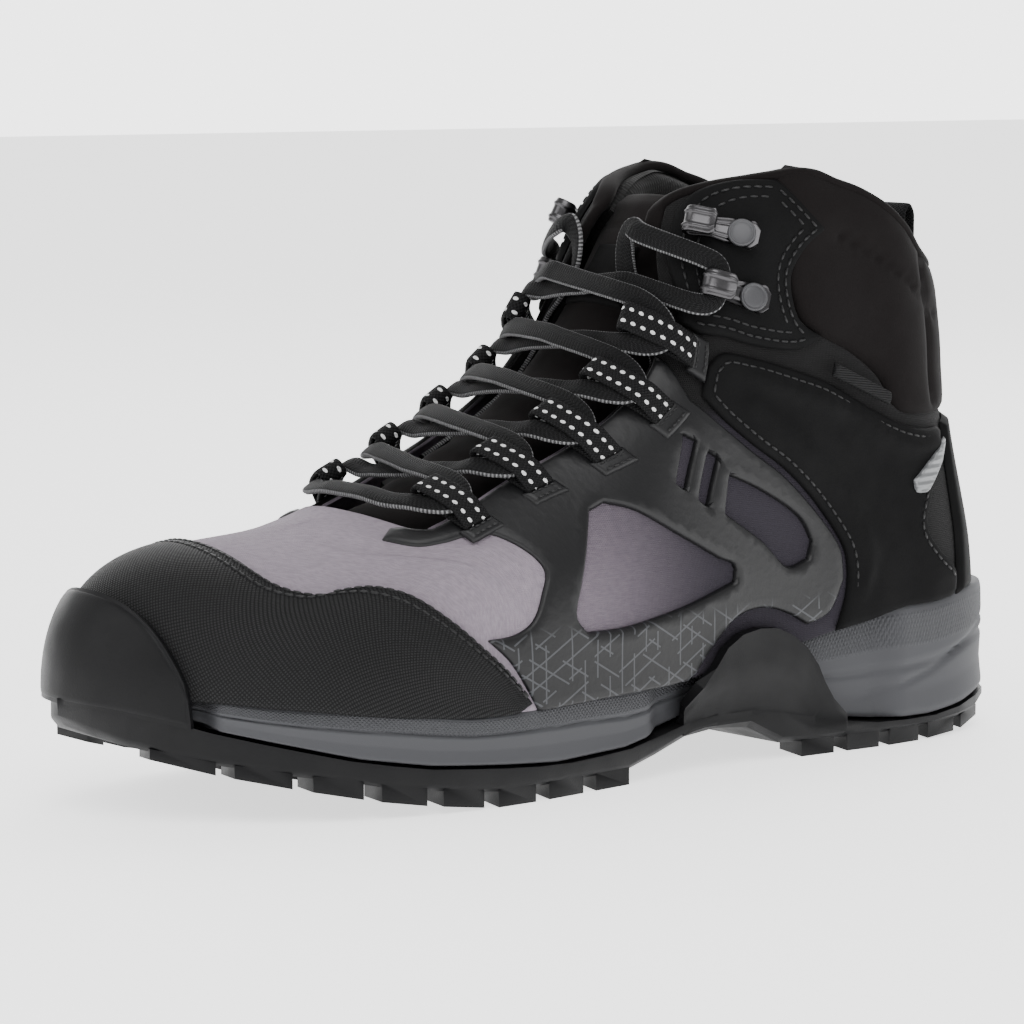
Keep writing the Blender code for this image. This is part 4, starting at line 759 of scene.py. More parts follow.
def skin(name, grid, lift, thick, material, relief=0.0, radius=None, **how):
    """Closed sheet on a grid: the lift above the form falls in a quarter circle at the rim."""
    normals = grid_normals(grid)
    rise = rounded(rim_distance(grid), radius or thick * 1.3)
    outer = grid + normals * (lift - thick + (thick + relief) * rise)[..., None]
    inner = grid + normals * (lift - thick - 0.25)
    u, v = grid_lengths(grid)
    uv = np.stack([u - u[:, u.shape[1] // 2][:, None], v], -1).reshape(-1, 2)
    points, faces = two_sided(outer, inner)
    return add_piece(name, points, faces, material, np.concatenate([uv, uv]), **how)


def wrapped(name, grid, lift, thick, material, relief=0.0, radius=None, **how):
    """Closed sheet on an unrolled grid that goes round the heel, rounded at its rim."""
    flat = rolled_lifted(grid[..., 0], grid[..., 1], 0.0)
    rise = rounded(rim_distance(flat), radius or thick * 1.3)
    outer = rolled_lifted(grid[..., 0], grid[..., 1],
                          (lift - thick + (thick + relief) * rise)[..., None])
    inner = rolled_lifted(grid[..., 0], grid[..., 1], lift - thick - 0.25)
    points, faces = two_sided(outer, inner)
    uv = grid.reshape(-1, 2)
    return add_piece(name, points, faces, material, np.concatenate([uv, uv]), **how)


def sheet_panel(name, outline, holes, lift, thick, material, spacing=2.6, relief=None,
                radius=None, **how):
    """Closed panel in the unrolled chart, cut by holes, its lift rounded off at every rim.

    The rim's own points are followed by inset rows, so that the quarter circle is drawn.
    """
    radius = radius or thick * 1.3
    loops = [outline] + holes
    low, high = outline.min(0), outline.max(0)
    us = np.arange(low[0] + spacing / 2, high[0], spacing)
    zs = np.arange(low[1] + spacing / 2, high[1], spacing)
    grid = np.stack(np.meshgrid(us, zs), -1).reshape(-1, 2)
    extra = [grid[rim_clearance(grid, loops) > radius * 1.4 + spacing * 0.3]]
    for loop in loops:
        for part in (0.12, 0.4, 1.0):
            for sign in (1, -1):
                row = inset_loop(loop, sign * radius * part)
                extra.append(row[rim_clearance(row, loops) > radius * part * 0.94])
    points, edges = [], []
    for loop in loops:
        first = len(points)
        points.extend(loop)
        edges += [(first + i, first + (i + 1) % len(loop)) for i in range(len(loop))]
    inner_points = np.concatenate(extra)
    keep = inside_polygon(inner_points, outline)
    for hole in holes:
        keep &= ~inside_polygon(inner_points, hole)
    points.extend(inner_points[keep])
    flat, _, triangles, _, _, _ = delaunay_2d_cdt([Vector(p) for p in points], edges, [], 0, 1e-4)
    flat = np.array([tuple(p) for p in flat])
    triangles = np.array([tuple(f) for f in triangles])
    middles = flat[triangles].mean(1)
    good = inside_polygon(middles, outline)
    for hole in holes:
        good &= ~inside_polygon(middles, hole)
    triangles = [tuple(f) for f in triangles[good].tolist()]
    clear = rim_clearance(flat, loops)
    rise = rounded(clear, radius)
    bulge = relief(flat[:, 0], flat[:, 1], clear) if relief else 0.0
    outer = rolled_lifted(flat[:, 0], flat[:, 1],
                          (lift - thick + thick * rise + bulge * rise)[:, None])
    inner = rolled_lifted(flat[:, 0], flat[:, 1], lift - thick - 0.25)
    directed = {(a, b) for f in triangles for a, b in zip(f, f[1:] + f[:1])}
    rim = [edge for edge in directed if (edge[1], edge[0]) not in directed]
    rim.sort()
    count = len(flat)
    faces = triangles + [tuple(i + count for i in f[::-1]) for f in triangles]
    faces += [(b, a, a + count, b + count) for a, b in rim]
    return add_piece(name, np.concatenate([outer, inner]), faces, material,
                     np.concatenate([flat, flat]), **how)


def rim_clearance(points, loops):
    """Distance from each point to the nearest of the closed loops."""
    best = np.full(len(points), 1e9)
    for loop in loops:
        closed = np.concatenate([loop, loop[:1]])
        best = np.minimum(best, line_distance(closed, points[:, 0], points[:, 1]))
    return best


def carried(name, middles, sideways, normals, widths, thick, powers, sides, material, **how):
    """Superellipse section carried along a path and capped at both ends.

    The section is width and thickness times cosine and sine, each raised to its own power.
    """
    angle = np.linspace(0, 2 * math.pi, sides, endpoint=False)
    x = np.sign(np.cos(angle)) * np.abs(np.cos(angle))**powers[0] / 2
    y = np.sign(np.sin(angle)) * np.abs(np.sin(angle))**powers[1] * thick / 2
    across = widths * x[None]
    rings = (middles[:, None] + sideways[:, None] * across[..., None]
             + normals[:, None] * y[None, :, None])
    count = len(middles)
    faces = grid_faces(count, sides, closed=True)
    last = count * sides
    faces += [tuple(range(sides))[::-1], tuple(range(last - sides, last))]
    steps = np.linalg.norm(np.diff(middles, axis=0), axis=1)
    along = np.concatenate([[0], np.cumsum(steps)])
    uv = np.stack([np.broadcast_to(along[:, None], (count, sides)), across], -1)
    return add_piece(name, rings.reshape(-1, 3), faces, material, uv, **how)


def tube(name, centres, normals, width, thick, material, **how):
    """Flat-oval cord along points, its flat side turned to the normals."""
    tangents = np.gradient(centres, axis=0)
    tangents /= np.linalg.norm(tangents, axis=1, keepdims=True)
    normals = normals - tangents * np.sum(normals * tangents, 1, keepdims=True)
    normals /= np.linalg.norm(normals, axis=1, keepdims=True)
    widths = np.full((len(centres), 1), width)
    return carried(name, centres, np.cross(tangents, normals), normals, widths, thick,
                   (0.8, 0.7), 14, material, **how)


def band(name, rows, thick, material, **how):
    """Woven strap through rows of two edge points, with a rounded section."""
    middle = rows.mean(1)
    across = rows[:, 1] - rows[:, 0]
    width = np.linalg.norm(across, axis=1, keepdims=True)
    across = across / width
    normal = np.cross(np.gradient(middle, axis=0), across)
    normal /= np.linalg.norm(normal, axis=1, keepdims=True)
    return carried(name, middle, across, normal, width, thick, (0.35, 0.6), 16, material, **how)


def stitches(name, path, normals, material, pitch=3.1, length=2.3, radius=0.38, **how):
    """Row of thread stitches: one six-sided spindle per pitch along a path."""
    steps = np.linalg.norm(np.diff(path, axis=0), axis=1)
    along = np.concatenate([[0], np.cumsum(steps)])
    count = max(1, int(along[-1] / pitch))
    at = (np.arange(count) + 0.5) * along[-1] / count
    middle = np.stack([np.interp(at, along, path[:, k]) for k in range(3)], 1)
    ahead = np.stack([np.interp(at + 0.4, along, path[:, k]) for k in range(3)], 1)
    back = np.stack([np.interp(at - 0.4, along, path[:, k]) for k in range(3)], 1)
    up = np.stack([np.interp(at, along, normals[:, k]) for k in range(3)], 1)
    heading = ahead - back
    heading /= np.linalg.norm(heading, axis=1, keepdims=True)
    up /= np.linalg.norm(up, axis=1, keepdims=True)
    side = np.cross(heading, up)
    stations = np.array([-0.5, -0.42, 0, 0.42, 0.5]) * length
    size = np.array([0.25, 0.8, 1.0, 0.8, 0.25]) * radius
    angle = np.linspace(0, 2 * math.pi, 6, endpoint=False)
    points = (middle[:, None, None] + heading[:, None, None] * stations[None, :, None, None]
              + (side[:, None, None] * np.cos(angle)[None, None, :, None]
                 + up[:, None, None] * np.sin(angle)[None, None, :, None])
              * size[None, :, None, None])
    one = grid_faces(5, 6, closed=True) + [tuple(range(6))[::-1], tuple(range(24, 30))]
    faces = [tuple(k + 30 * i for k in face) for i in range(count) for face in one]
    return add_piece(name, points.reshape(-1, 3), faces, material, **how)


def inset_stitches(name, outline, turn, inward, lift, slot, beyond=0.0):
    """Stitches that follow an outline a little inside it, where it keeps its distance."""
    best = None
    for sign in (1, -1):
        line = inset_loop(outline, sign * inward)
        good = ((rim_clearance(line, [outline]) > inward * 0.94) & inside_polygon(line, outline)
                & (np.abs(line[:, 0]) > 1) & (line[:, 1] > beyond))
        if best is None or good.sum() > best[1].sum():
            best = line, good
    line, good = best
    start = int(np.argmin(good)) if not good.all() else 0
    line, good = np.roll(line, -start, axis=0), np.roll(good, -start)
    breaks = np.flatnonzero(np.diff(good.astype(int))) + 1
    runs = [run for run, kept in zip(np.split(line, breaks), np.split(good, breaks))
            if kept[0] and len(run) > 4]
    for number, run in enumerate(runs, 1):
        run = run * turn
        path = rolled_lifted(run[:, 0], run[:, 1], lift)
        up = rolled_lifted(run[:, 0], run[:, 1], lift + 1) - path
        stitches(f"{name}_{number}", path, up, look("thread"), pitch=3.0, slot=slot)


# ---------------------------------------------------------------- materials
class Net:
    """Short names for building a node tree."""

    def __init__(self, tree):
        """Keep the tree that the nodes go into."""
        self.tree = tree

    def add(self, kind, **settings):
        """New node with its properties set."""
        node = self.tree.nodes.new(kind)
        for key, value in settings.items():
            setattr(node, key, value)
        return node

    def put(self, socket, value):
        """Link a socket, or set its own value."""
        if isinstance(value, bpy.types.NodeSocket):
            self.tree.links.new(value, socket)
        else:
            socket.default_value = value

    def math(self, operation, *values):
        """Math node; returns its output."""
        node = self.add("ShaderNodeMath", operation=operation)
        for socket, value in zip(node.inputs, values):
            self.put(socket, value)
        return node.outputs[0]

    def span(self, value, low, high, out_low=0.0, out_high=1.0):
        """Clamped smooth range of a value."""
        node = self.add("ShaderNodeMapRange", interpolation_type="SMOOTHSTEP")
        for socket, item in zip(node.inputs, (value, low, high, out_low, out_high)):
            self.put(socket, item)
        return node.outputs[0]

    def noise(self, vector, scale, detail=3.0):
        """Noise texture; returns its factor."""
        node = self.add("ShaderNodeTexNoise")
        self.put(node.inputs["Vector"], vector)
        node.inputs["Scale"].default_value = scale
        node.inputs["Detail"].default_value = detail
        return node.outputs["Fac"]

    def mix(self, factor, first, second):
        """Mix of two colours."""
        node = self.add("ShaderNodeMix", data_type="RGBA")
        self.put(node.inputs["Factor"], factor)
        self.put(node.inputs[6], first)
        self.put(node.inputs[7], second)
        return node.outputs[2]


def effect(name, inputs, outputs):
    """Node group with float or vector inputs and float outputs; returns its net and ends."""
    group = bpy.data.node_groups.new(name, "ShaderNodeTree")
    for label, kind, default in inputs:
        socket = group.interface.new_socket(label, in_out="INPUT", socket_type=kind)
        if kind == "NodeSocketFloat":
            socket.default_value = default
    for label in outputs:
        group.interface.new_socket(label, in_out="OUTPUT", socket_type="NodeSocketFloat")
    net = Net(group)
    start, end = net.add("NodeGroupInput"), net.add("NodeGroupOutput")
    return group, net, start.outputs, end.inputs


def weave_effect():
    """Plain weave: threads over and under in turn, as products of sines, and a heather tone."""
    if "woven cloth" in bpy.data.node_groups:
        return bpy.data.node_groups["woven cloth"]
    group, net, given, out = effect("woven cloth", [("Vector", "NodeSocketVector", None),
                                                    ("Thread", "NodeSocketFloat", 0.6)],
                                    ["Height", "Tone"])
    parts = net.add("ShaderNodeSeparateXYZ")
    net.put(parts.inputs[0], given["Vector"])
    waves = [net.math("SINE", net.math("MULTIPLY", net.math("DIVIDE", parts.outputs[k],
                                                            given["Thread"]), math.pi))
             for k in (0, 1)]
    product = net.math("MULTIPLY", *waves)
    net.put(out["Height"], net.math("ABSOLUTE", product))
    streak = net.add("ShaderNodeVectorMath", operation="MULTIPLY")
    net.put(streak.inputs[0], given["Vector"])
    streak.inputs[1].default_value = (0.25, 1.0, 1.0)
    tone = net.math("MULTIPLY_ADD", net.noise(streak.outputs[0], 1.6, 4.0), 0.7,
                    net.math("MULTIPLY", net.noise(given["Vector"], 0.35, 2.0), 0.3))
    net.put(out["Tone"], tone)
    return group


def grain_effect():
    """Fine grain: two sizes of noise, for nubuck, rubber and softshell."""
    if "fine grain" in bpy.data.node_groups:
        return bpy.data.node_groups["fine grain"]
    group, net, given, out = effect("fine grain", [("Vector", "NodeSocketVector", None)],
                                    ["Height", "Patches"])
    net.put(out["Height"], net.noise(given["Vector"], 2.2, 5.0))
    net.put(out["Patches"], net.noise(given["Vector"], 0.09, 3.0))
    return group


def surface_vector(net, own_map):
    """The piece's own map in millimetres, or Object coordinates scaled to millimetres."""
    if own_map:
        return net.add("ShaderNodeUVMap", uv_map="surface").outputs[0]
    scaled = net.add("ShaderNodeVectorMath", operation="SCALE")
    net.put(scaled.inputs[0], net.add("ShaderNodeTexCoord").outputs["Object"])
    scaled.inputs["Scale"].default_value = 1000.0
    return scaled.outputs[0]


def toned(colour, factor):
    """A colour made lighter or darker, with its alpha."""
    return tuple(factor * c for c in colour) + (1,)


def finish(name, colour, roughness, own_map=True, **sockets):
    """Principled material with constant sockets; returns material, net, vector and shader."""
    made = bpy.data.materials.new(name)
    made.use_nodes = True
    net = Net(made.node_tree)
    shader = made.node_tree.nodes["Principled BSDF"]
    shader.inputs["Base Color"].default_value = (*colour, 1)
    shader.inputs["Roughness"].default_value = roughness
    for label, value in sockets.items():
        shader.inputs[label.replace("_", " ")].default_value = value
    return made, net, surface_vector(net, own_map), shader


def raise_surface(net, shader, height, distance, strength=1.0):
    """Bump of a height in metres on the shader's normal."""
    bump_node = net.add("ShaderNodeBump")
    bump_node.inputs["Distance"].default_value = distance
    bump_node.inputs["Strength"].default_value = strength
    net.put(bump_node.inputs["Height"], height)
    net.put(shader.inputs["Normal"], bump_node.outputs[0])


def use(net, group, vector, **values):
    """Place an effect group and return its outputs."""
    node = net.add("ShaderNodeGroup", node_tree=group)
    net.put(node.inputs["Vector"], vector)
    for label, value in values.items():
        node.inputs[label].default_value = value
    return node.outputs


def cloth(name, light, dark, thread, fade=None, dark_above=None, sheen=0.04):
    """Woven cloth between two tones; fade darkens it towards the heel along its own map."""
    made, net, vector, shader = finish(name, light, 0.82, Sheen_Weight=sheen,
                                       Specular_IOR_Level=0.15)
    woven = use(net, weave_effect(), vector, Thread=thread)
    tone = net.mix(net.span(woven["Tone"], 0.3, 0.7), (*dark, 1), (*light, 1))
    if fade:
        parts = net.add("ShaderNodeSeparateXYZ")
        net.put(parts.inputs[0], vector)
        reach = net.math("ABSOLUTE", parts.outputs[0])
        near = net.math("MULTIPLY", net.span(reach, fade[0], fade[1]),
                        net.span(parts.outputs[1], dark_above[1], dark_above[0]))
        tone = net.mix(near, (*fade[2], 1), tone)
        shown = net.math("MULTIPLY", net.span(reach, 66, 84),
                         net.span(parts.outputs[1], dark_above[1], dark_above[0]))
        tone = net.mix(shown, (0.006, 0.0058, 0.006, 1), tone)
    net.put(shader.inputs["Base Color"], tone)
    raise_surface(net, shader, woven["Height"], 0.00012, 0.8)
    return made


def grained(name, colour, roughness, depth, own_map=False, **sockets):
    """Plain finish with fine grain and slightly uneven gloss."""
    made, net, vector, shader = finish(name, colour, roughness, own_map, **sockets)
    grain = use(net, grain_effect(), vector)
    net.put(shader.inputs["Roughness"],
            net.span(grain["Patches"], 0.3, 0.7, roughness - 0.05, roughness + 0.06))
    raise_surface(net, shader, grain["Height"], depth, 0.7)
    return made


def dotted(name, colour, pitch):
    """Coated textile with a micro-grid of raised dots on a diagonal square lattice, with painted
    highlight on the dots and painted shade between them.
    """
    made, net, vector, shader = finish(name, colour, 0.6, Specular_IOR_Level=0.22)
    parts = net.add("ShaderNodeSeparateXYZ")
    net.put(parts.inputs[0], vector)
    sum_, difference = (net.math(op, parts.outputs[0], parts.outputs[1])
                        for op in ("ADD", "SUBTRACT"))
    waves = [net.math("SINE", net.math("MULTIPLY", value, math.pi / pitch))
             for value in (sum_, difference)]
    dots = net.math("ABSOLUTE", net.math("MULTIPLY", *waves))
    high = net.span(dots, 0.25, 0.75)
    # Painted highlight and shade: the colour follows the dots' height, lighter on the raised dots
    # and darker in the ground between them.
    net.put(shader.inputs["Base Color"],
            net.mix(high, toned(colour, 0.45), toned(colour, 1.5)))
    net.put(shader.inputs["Roughness"], net.span(dots, 0.2, 0.8, 0.8, 0.5))
    raise_surface(net, shader, high, 0.00018)
    return made


def film(name, colour):
    """Satin welded film with a printed lattice of thin lines low on the side."""
    made, net, vector, shader = finish(name, colour, 0.42, Specular_IOR_Level=0.32)
    parts = net.add("ShaderNodeSeparateXYZ")
    net.put(parts.inputs[0], vector)
    u, z = net.math("ABSOLUTE", parts.outputs[0]), parts.outputs[1]
    pitch = 4.6
    lines = None
    for turn in (0, 60, 120):
        a = math.radians(turn)
        across = net.math("ADD", net.math("MULTIPLY", u, math.cos(a)),
                          net.math("MULTIPLY", z, math.sin(a)))
        along = net.math("SUBTRACT", net.math("MULTIPLY", z, math.cos(a)),
                         net.math("MULTIPLY", u, math.sin(a)))
        offset = net.math("ABSOLUTE", net.math("SUBTRACT", net.math(
            "FRACT", net.math("DIVIDE", across, pitch)), 0.5))
        line = net.math("LESS_THAN", offset, 0.055)
        cell = net.add("ShaderNodeCombineXYZ")
        net.put(cell.inputs[0], net.math("FLOOR", net.math("DIVIDE", across, pitch)))
        net.put(cell.inputs[1], net.math("FLOOR", net.math("DIVIDE", along, pitch * 1.155)))
        cell.inputs[2].default_value = turn
        chance = net.add("ShaderNodeTexWhiteNoise", noise_dimensions="3D")
        net.put(chance.inputs["Vector"], cell.outputs[0])
        kept = net.math("MULTIPLY", line, net.math("GREATER_THAN", chance.outputs["Value"], 0.38))
        lines = kept if lines is None else net.math("MAXIMUM", lines, kept)
    band_mask = net.math("MULTIPLY", net.span(z, 48, 43), net.span(u, 86, 96))
    lines = net.math("MULTIPLY", lines, band_mask)
    net.put(shader.inputs["Base Color"], net.mix(lines, (*colour, 1), (0.048, 0.050, 0.055, 1)))
    raise_surface(net, shader, net.noise(vector, 0.5, 3.0), 0.0003, 0.35)
    return made


def foam(name, colour):
    """Moulded foam: matte, with a band of fine diagonal knurl above its groove."""
    made, net, vector, shader = finish(name, colour, 0.62, Specular_IOR_Level=0.3)
    parts = net.add("ShaderNodeSeparateXYZ")
    net.put(parts.inputs[0], vector)
    along, height = parts.outputs[0], parts.outputs[1]
    waves = [net.math("SINE", net.math("MULTIPLY", net.math(op, along, net.math(
        "MULTIPLY", height, 14.0)), 2.6)) for op in ("ADD", "SUBTRACT")]
    knurl = net.math("ABSOLUTE", net.math("MULTIPLY", *waves))
    mask = net.math("MULTIPLY", net.span(height, 0.60, 0.66), net.span(height, 0.94, 0.90))
    grain = use(net, grain_effect(), surface_vector(net, False))
    depth = net.math("MULTIPLY_ADD", net.math("MULTIPLY", knurl, mask), 1.6,
                     net.math("MULTIPLY", grain["Height"], 0.25))
    raise_surface(net, shader, depth, 0.0002)
    return made


def braid(name, colour, edge_colour):
    """Flat braided lace: herringbone ribs with painted highlight and shade, and pale cords along
    both edges.
    """
    made, net, vector, shader = finish(name, colour, 0.72, Specular_IOR_Level=0.15)
    parts = net.add("ShaderNodeSeparateXYZ")
    net.put(parts.inputs[0], vector)
    along, across = parts.outputs[0], parts.outputs[1]
    reach = net.math("ABSOLUTE", across)
    ribs = net.math("SINE", net.math("MULTIPLY", net.math(
        "ADD", along, net.math("MULTIPLY", reach, 1.2)), 2 * math.pi / 1.15))
    rows = net.math("SINE", net.math("MULTIPLY", across, 2 * math.pi / 1.3))
    edge = net.span(reach, 2.62, 2.78)
    twist = net.span(net.math("SINE", net.math("MULTIPLY", along, 2 * math.pi / 0.9)), -0.6, 0.4)
    pale = net.math("MULTIPLY", edge, net.math("MULTIPLY_ADD", twist, 0.75, 0.25))
    weave = net.span(net.math("MULTIPLY", ribs, rows), -0.7, 0.7)
    # Painted highlight and shade: the lace's body is lighter on its raised ribs and darker in the
    # hollows, following the weave's height; the pale edge cords are their own colour.
    dark = net.mix(weave, toned(colour, 0.5), toned(colour, 1.5))
    net.put(shader.inputs["Base Color"], net.mix(pale, dark, (*edge_colour, 1)))
    raise_surface(net, shader, net.math("ADD", weave, net.math("MULTIPLY", edge, twist)), 0.00035)
    return made


def webbing(name, colour, flecked=True):
    """Woven webbing: ribs across with painted highlight and shade, and rows of short white flecks
    where the loop folds.
    """
    made, net, vector, shader = finish(name, colour, 0.78, Specular_IOR_Level=0.15)
    parts = net.add("ShaderNodeSeparateXYZ")
    net.put(parts.inputs[0], vector)
    along, across = parts.outputs[0], parts.outputs[1]
    ribs = net.math("SINE", net.math("MULTIPLY", along, 2 * math.pi / 1.0))
    cords = net.math("SINE", net.math("MULTIPLY", across, 2 * math.pi / 1.4))
    weave = net.span(net.math("MULTIPLY", ribs, cords), -0.7, 0.7)
    # Painted highlight and shade: the webbing is lighter on its raised threads and darker in the
    # hollows, following the weave's height.
    tone = net.mix(weave, toned(colour, 0.6), toned(colour, 1.6))
    if flecked:
        side = net.math("SUBTRACT", net.math("ABSOLUTE", across), 1.9)
        shift = net.math("MULTIPLY", net.math("SIGN", across), 0.25)
        place = net.math("SUBTRACT", net.math("FRACT", net.math("ADD", net.math(
            "DIVIDE", along, 3.0), shift)), 0.5)
        oval = net.math("ADD", net.math("POWER", net.math("DIVIDE", side, 0.55), 2.0),
                        net.math("POWER", net.math("DIVIDE", place, 0.26), 2.0))
        fleck = net.span(oval, 1.15, 0.75)
        tone = net.mix(fleck, tone, (0.75, 0.75, 0.75, 1))
    net.put(shader.inputs["Base Color"], tone)
    raise_surface(net, shader, weave, 0.0003)
    return made


def ribbed(name, colour, pitch, roughness=0.5, **sockets):
    """Finish with fine parallel ribs across the piece's own map."""
    made, net, vector, shader = finish(name, colour, roughness, **sockets)
    parts = net.add("ShaderNodeSeparateXYZ")
    net.put(parts.inputs[0], vector)
    wave = net.math("SINE", net.math("MULTIPLY", parts.outputs[1], 2 * math.pi / pitch))
    raise_surface(net, shader, wave, 0.0002)
    return made


FINISHES = {
    "rubber": lambda: grained("moulded rubber", (0.0045, 0.0045, 0.005), 0.46, 0.00006,
                              Specular_IOR_Level=0.16),
    "foam": lambda: foam("midsole foam", (0.054, 0.055, 0.060)),
    "textile": lambda: cloth("heather textile", (0.20, 0.170, 0.200), (0.155, 0.128, 0.158), 0.55,
                             fade=(132, 212, (0.022, 0.019, 0.026)), dark_above=(96, 103)),
    # The vamp's copy of the quarters' heather textile, the same ripstop, is a third lighter:
    # painted light on the forefoot's upward-facing top.
    "vamp": lambda: cloth("heather textile lit copy for the vamp", (0.265, 0.230, 0.265), (0.205, 0.172, 0.208),
                          0.55),
    "cap": lambda: dotted("dotted toe textile", (0.0085, 0.0085, 0.009), 1.15),
    "film": lambda: film("welded film", (0.0062, 0.0062, 0.0068)),
    "nubuck": lambda: grained("black nubuck", (0.0042, 0.0042, 0.0044), 0.74, 0.00010,
                              Specular_IOR_Level=0.09),
    "softshell": lambda: grained("brown-black softshell", (0.0062, 0.0050, 0.0050), 0.85, 0.00008,
                                 Specular_IOR_Level=0.08, Sheen_Weight=0.03),
    "lining": lambda: cloth("lining cloth", (0.013, 0.0125, 0.0125), (0.007, 0.007, 0.007), 1.3,
                            sheen=0.05),
    "insole": lambda: cloth("footbed cloth", (0.03, 0.03, 0.032), (0.02, 0.02, 0.022), 0.8),
    "webbing": lambda: webbing("loop webbing", (0.0062, 0.0062, 0.0066)),
    "plain_webbing": lambda: webbing("plain webbing", (0.0062, 0.0062, 0.0066), False),
    "lace": lambda: braid("braided lace", (0.0068, 0.0068, 0.0072), (0.22, 0.22, 0.225)),
    "thread": lambda: grained("stitching thread", (0.006, 0.006, 0.0065), 0.5, 0.00003,
                              Specular_IOR_Level=0.4),
    "metal": lambda: grained("gunmetal", (0.075, 0.073, 0.076), 0.28, 0.00004, Metallic=1.0),
    "rivet": lambda: grained("rivet grey", (0.060, 0.060, 0.064), 0.45, 0.00003, Metallic=0.4),
    "reflector": lambda: ribbed("reflective film", (0.20, 0.205, 0.21), 2.2, 0.35, Metallic=0.3),
    "tag": lambda: ribbed("woven tag", (0.006, 0.006, 0.0065), 0.5, 0.55,
                          Specular_IOR_Level=0.2),
}
made_finishes = {}


def look(name):
    """The finish of that name, made on first use."""
    if name not in made_finishes:
        made_finishes[name] = FINISHES[name]()
    return made_finishes[name]


# ---------------------------------------------------------------- sole
def loop_cap(first, count):
    """Faces that close a plan loop whose two sides mirror each other, by strips across it."""
    half = count // 2
    return ([(first + i, first + i + 1, first + count - i - 1, first + (count - i) % count)
             for i in range(1, half - 1)]
            + [(first, first + 1, first + count - 1),
               (first + half - 1, first + half, first + half + 1)])


def copy_of_node(name, node, material, bevel=0.4):
    """Merged copy of a CAD node with softened edges."""
    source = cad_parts[node]
    mesh = source.data.copy()
    mesh.transform(source.matrix_world)
    work = bmesh.new()
    work.from_mesh(mesh)
    bmesh.ops.remove_doubles(work, verts=work.verts, dist=0.00002)
    work.to_mesh(mesh)
    work.free()
    mesh.materials.clear()
    mesh.materials.append(material)
    mesh.shade_smooth()
    mesh.set_sharp_from_angle(angle=math.radians(34))
    obj = bpy.data.objects.new(name, mesh)
    bpy.context.scene.collection.objects.link(obj)
    if bevel:
        edge = obj.modifiers.new("softened edges", "BEVEL")
        edge.width = bevel * MM
        edge.segments = 2
        edge.limit_method = "ANGLE"
        edge.angle_limit = math.radians(48)
        edge.harden_normals = False
    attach(obj, "boot")
    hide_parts(node)
    return obj


def build_midsole():
    """Foam midsole: rings round the sole from its tread to the upper, h rising from 0 to 1.

    The wall swells by a quarter circle at both edges. A groove waves along it, the face under
    the groove is hollowed, and an arc sweeps down round the heel.
    """
    count, knurl_step = 420, 1.6
    loop = sole_loop(0, count)
    t = loop[:, 0]
    under_wing, under_bumper = bump(t, 62, 142, 10), bump(t, 287, 320, 5)
    inset = 4.2 * under_wing + 5.0 * under_bumper
    low = height_at(TREAD_TOP, t) + 0.9
    high = height_at(FEATHER, t) - 0.2 + 0.5 * np.sin(t / 9.0)
    groove = 0.52 + 0.10 * np.sin((t - 150) / 42)
    swell = groove_depth = 0.9
    rings, uvs = [], []
    for h in np.concatenate([[0], np.linspace(0.03, 0.94, 34), [0.97, 0.99, 1.0]]):
        out = swell * rounded(h, 0.08) * rounded(1 - h, 0.10)
        out -= groove_depth * bell(h - groove, 0.035)
        below = np.abs(h - groove * 0.5) / (groove * 0.5)
        out -= 0.8 * np.clip(1 - below, 0, 1)**0.7 * (h < groove)
        heel_arc = 0.18 + 0.5 * np.clip((66 - t) / 60, 0, 1)
        out -= 0.8 * bell(h - heel_arc, 0.03) * np.clip((72 - t) / 14, 0, 1)
        wall = sole_loop(inset + 0.8 * h + swell - out, count)
        z = low + (high - low) * h
        rings.append(np.stack([wall[:, 1], LENGTH / 2 - wall[:, 0], z], 1))
        uvs.append(np.stack([np.arange(count) * knurl_step, np.full(count, h)], 1))
    for inward, dz in ((6.4, -0.5), (7.2, -2.0)):
        rings.append(ring(form_loop(inward, FEATHER, count), raised(FEATHER, dz)))
    rings.append(ring(form_loop(8.0, FEATHER, count), DISH_FLOOR))
    uvs += [np.stack([np.arange(count) * knurl_step, np.full(count, 0.99)], 1)] * 3
    faces = grid_faces(len(rings), count, closed=True)
    for first in (0, (len(rings) - 1) * count):
        faces += loop_cap(first, count)
    add_piece("foam_midsole", np.concatenate(rings), faces, look("foam"),
              np.concatenate(uvs), slot="midsole_foam", replaces=["midsole"])


def build_bumper():
    """Smooth rubber face over the toe bumper, from one side round the toe to the other."""
    low = [(286, 26), (292, 27.5), (298, 29)]
    outline = toe_outline(270, 29.5, 120)
    outline = outline[outline[:, 1] < 57]
    grid = soft_ridge(toe_patch(BUMPER_TOP, low, outline, 50, 160), 12, 40)
    skin("toe_bumper", grid, *BUMPER, look("rubber"), radius=1.8, slot="outsole_rubber")


def build_footbed():
    """Removable footbed: a cloth-covered foam slab, slightly dished."""
    count = 160
    rings = []
    for inward, rise in ((9.9, 5.5), (8.9, 6.6), (8.9, 9.4), (9.3, 10.0), (10.2, 10.2),
                         (14, 9.6), (20, 9.0), (26, 8.8)):
        rings.append(ring(form_loop(inward, FEATHER, count), raised(DISH_FLOOR, rise)))
    faces = grid_faces(len(rings), count, closed=True)
    for first in (0, (len(rings) - 1) * count):
        faces += loop_cap(first, count)
    points = np.concatenate(rings)
    obj = add_piece("footbed_pad", points, faces, look("insole"), points[:, :2],
                    body="footbed_body", slot="footbed_foam", replaces=["footbed"])


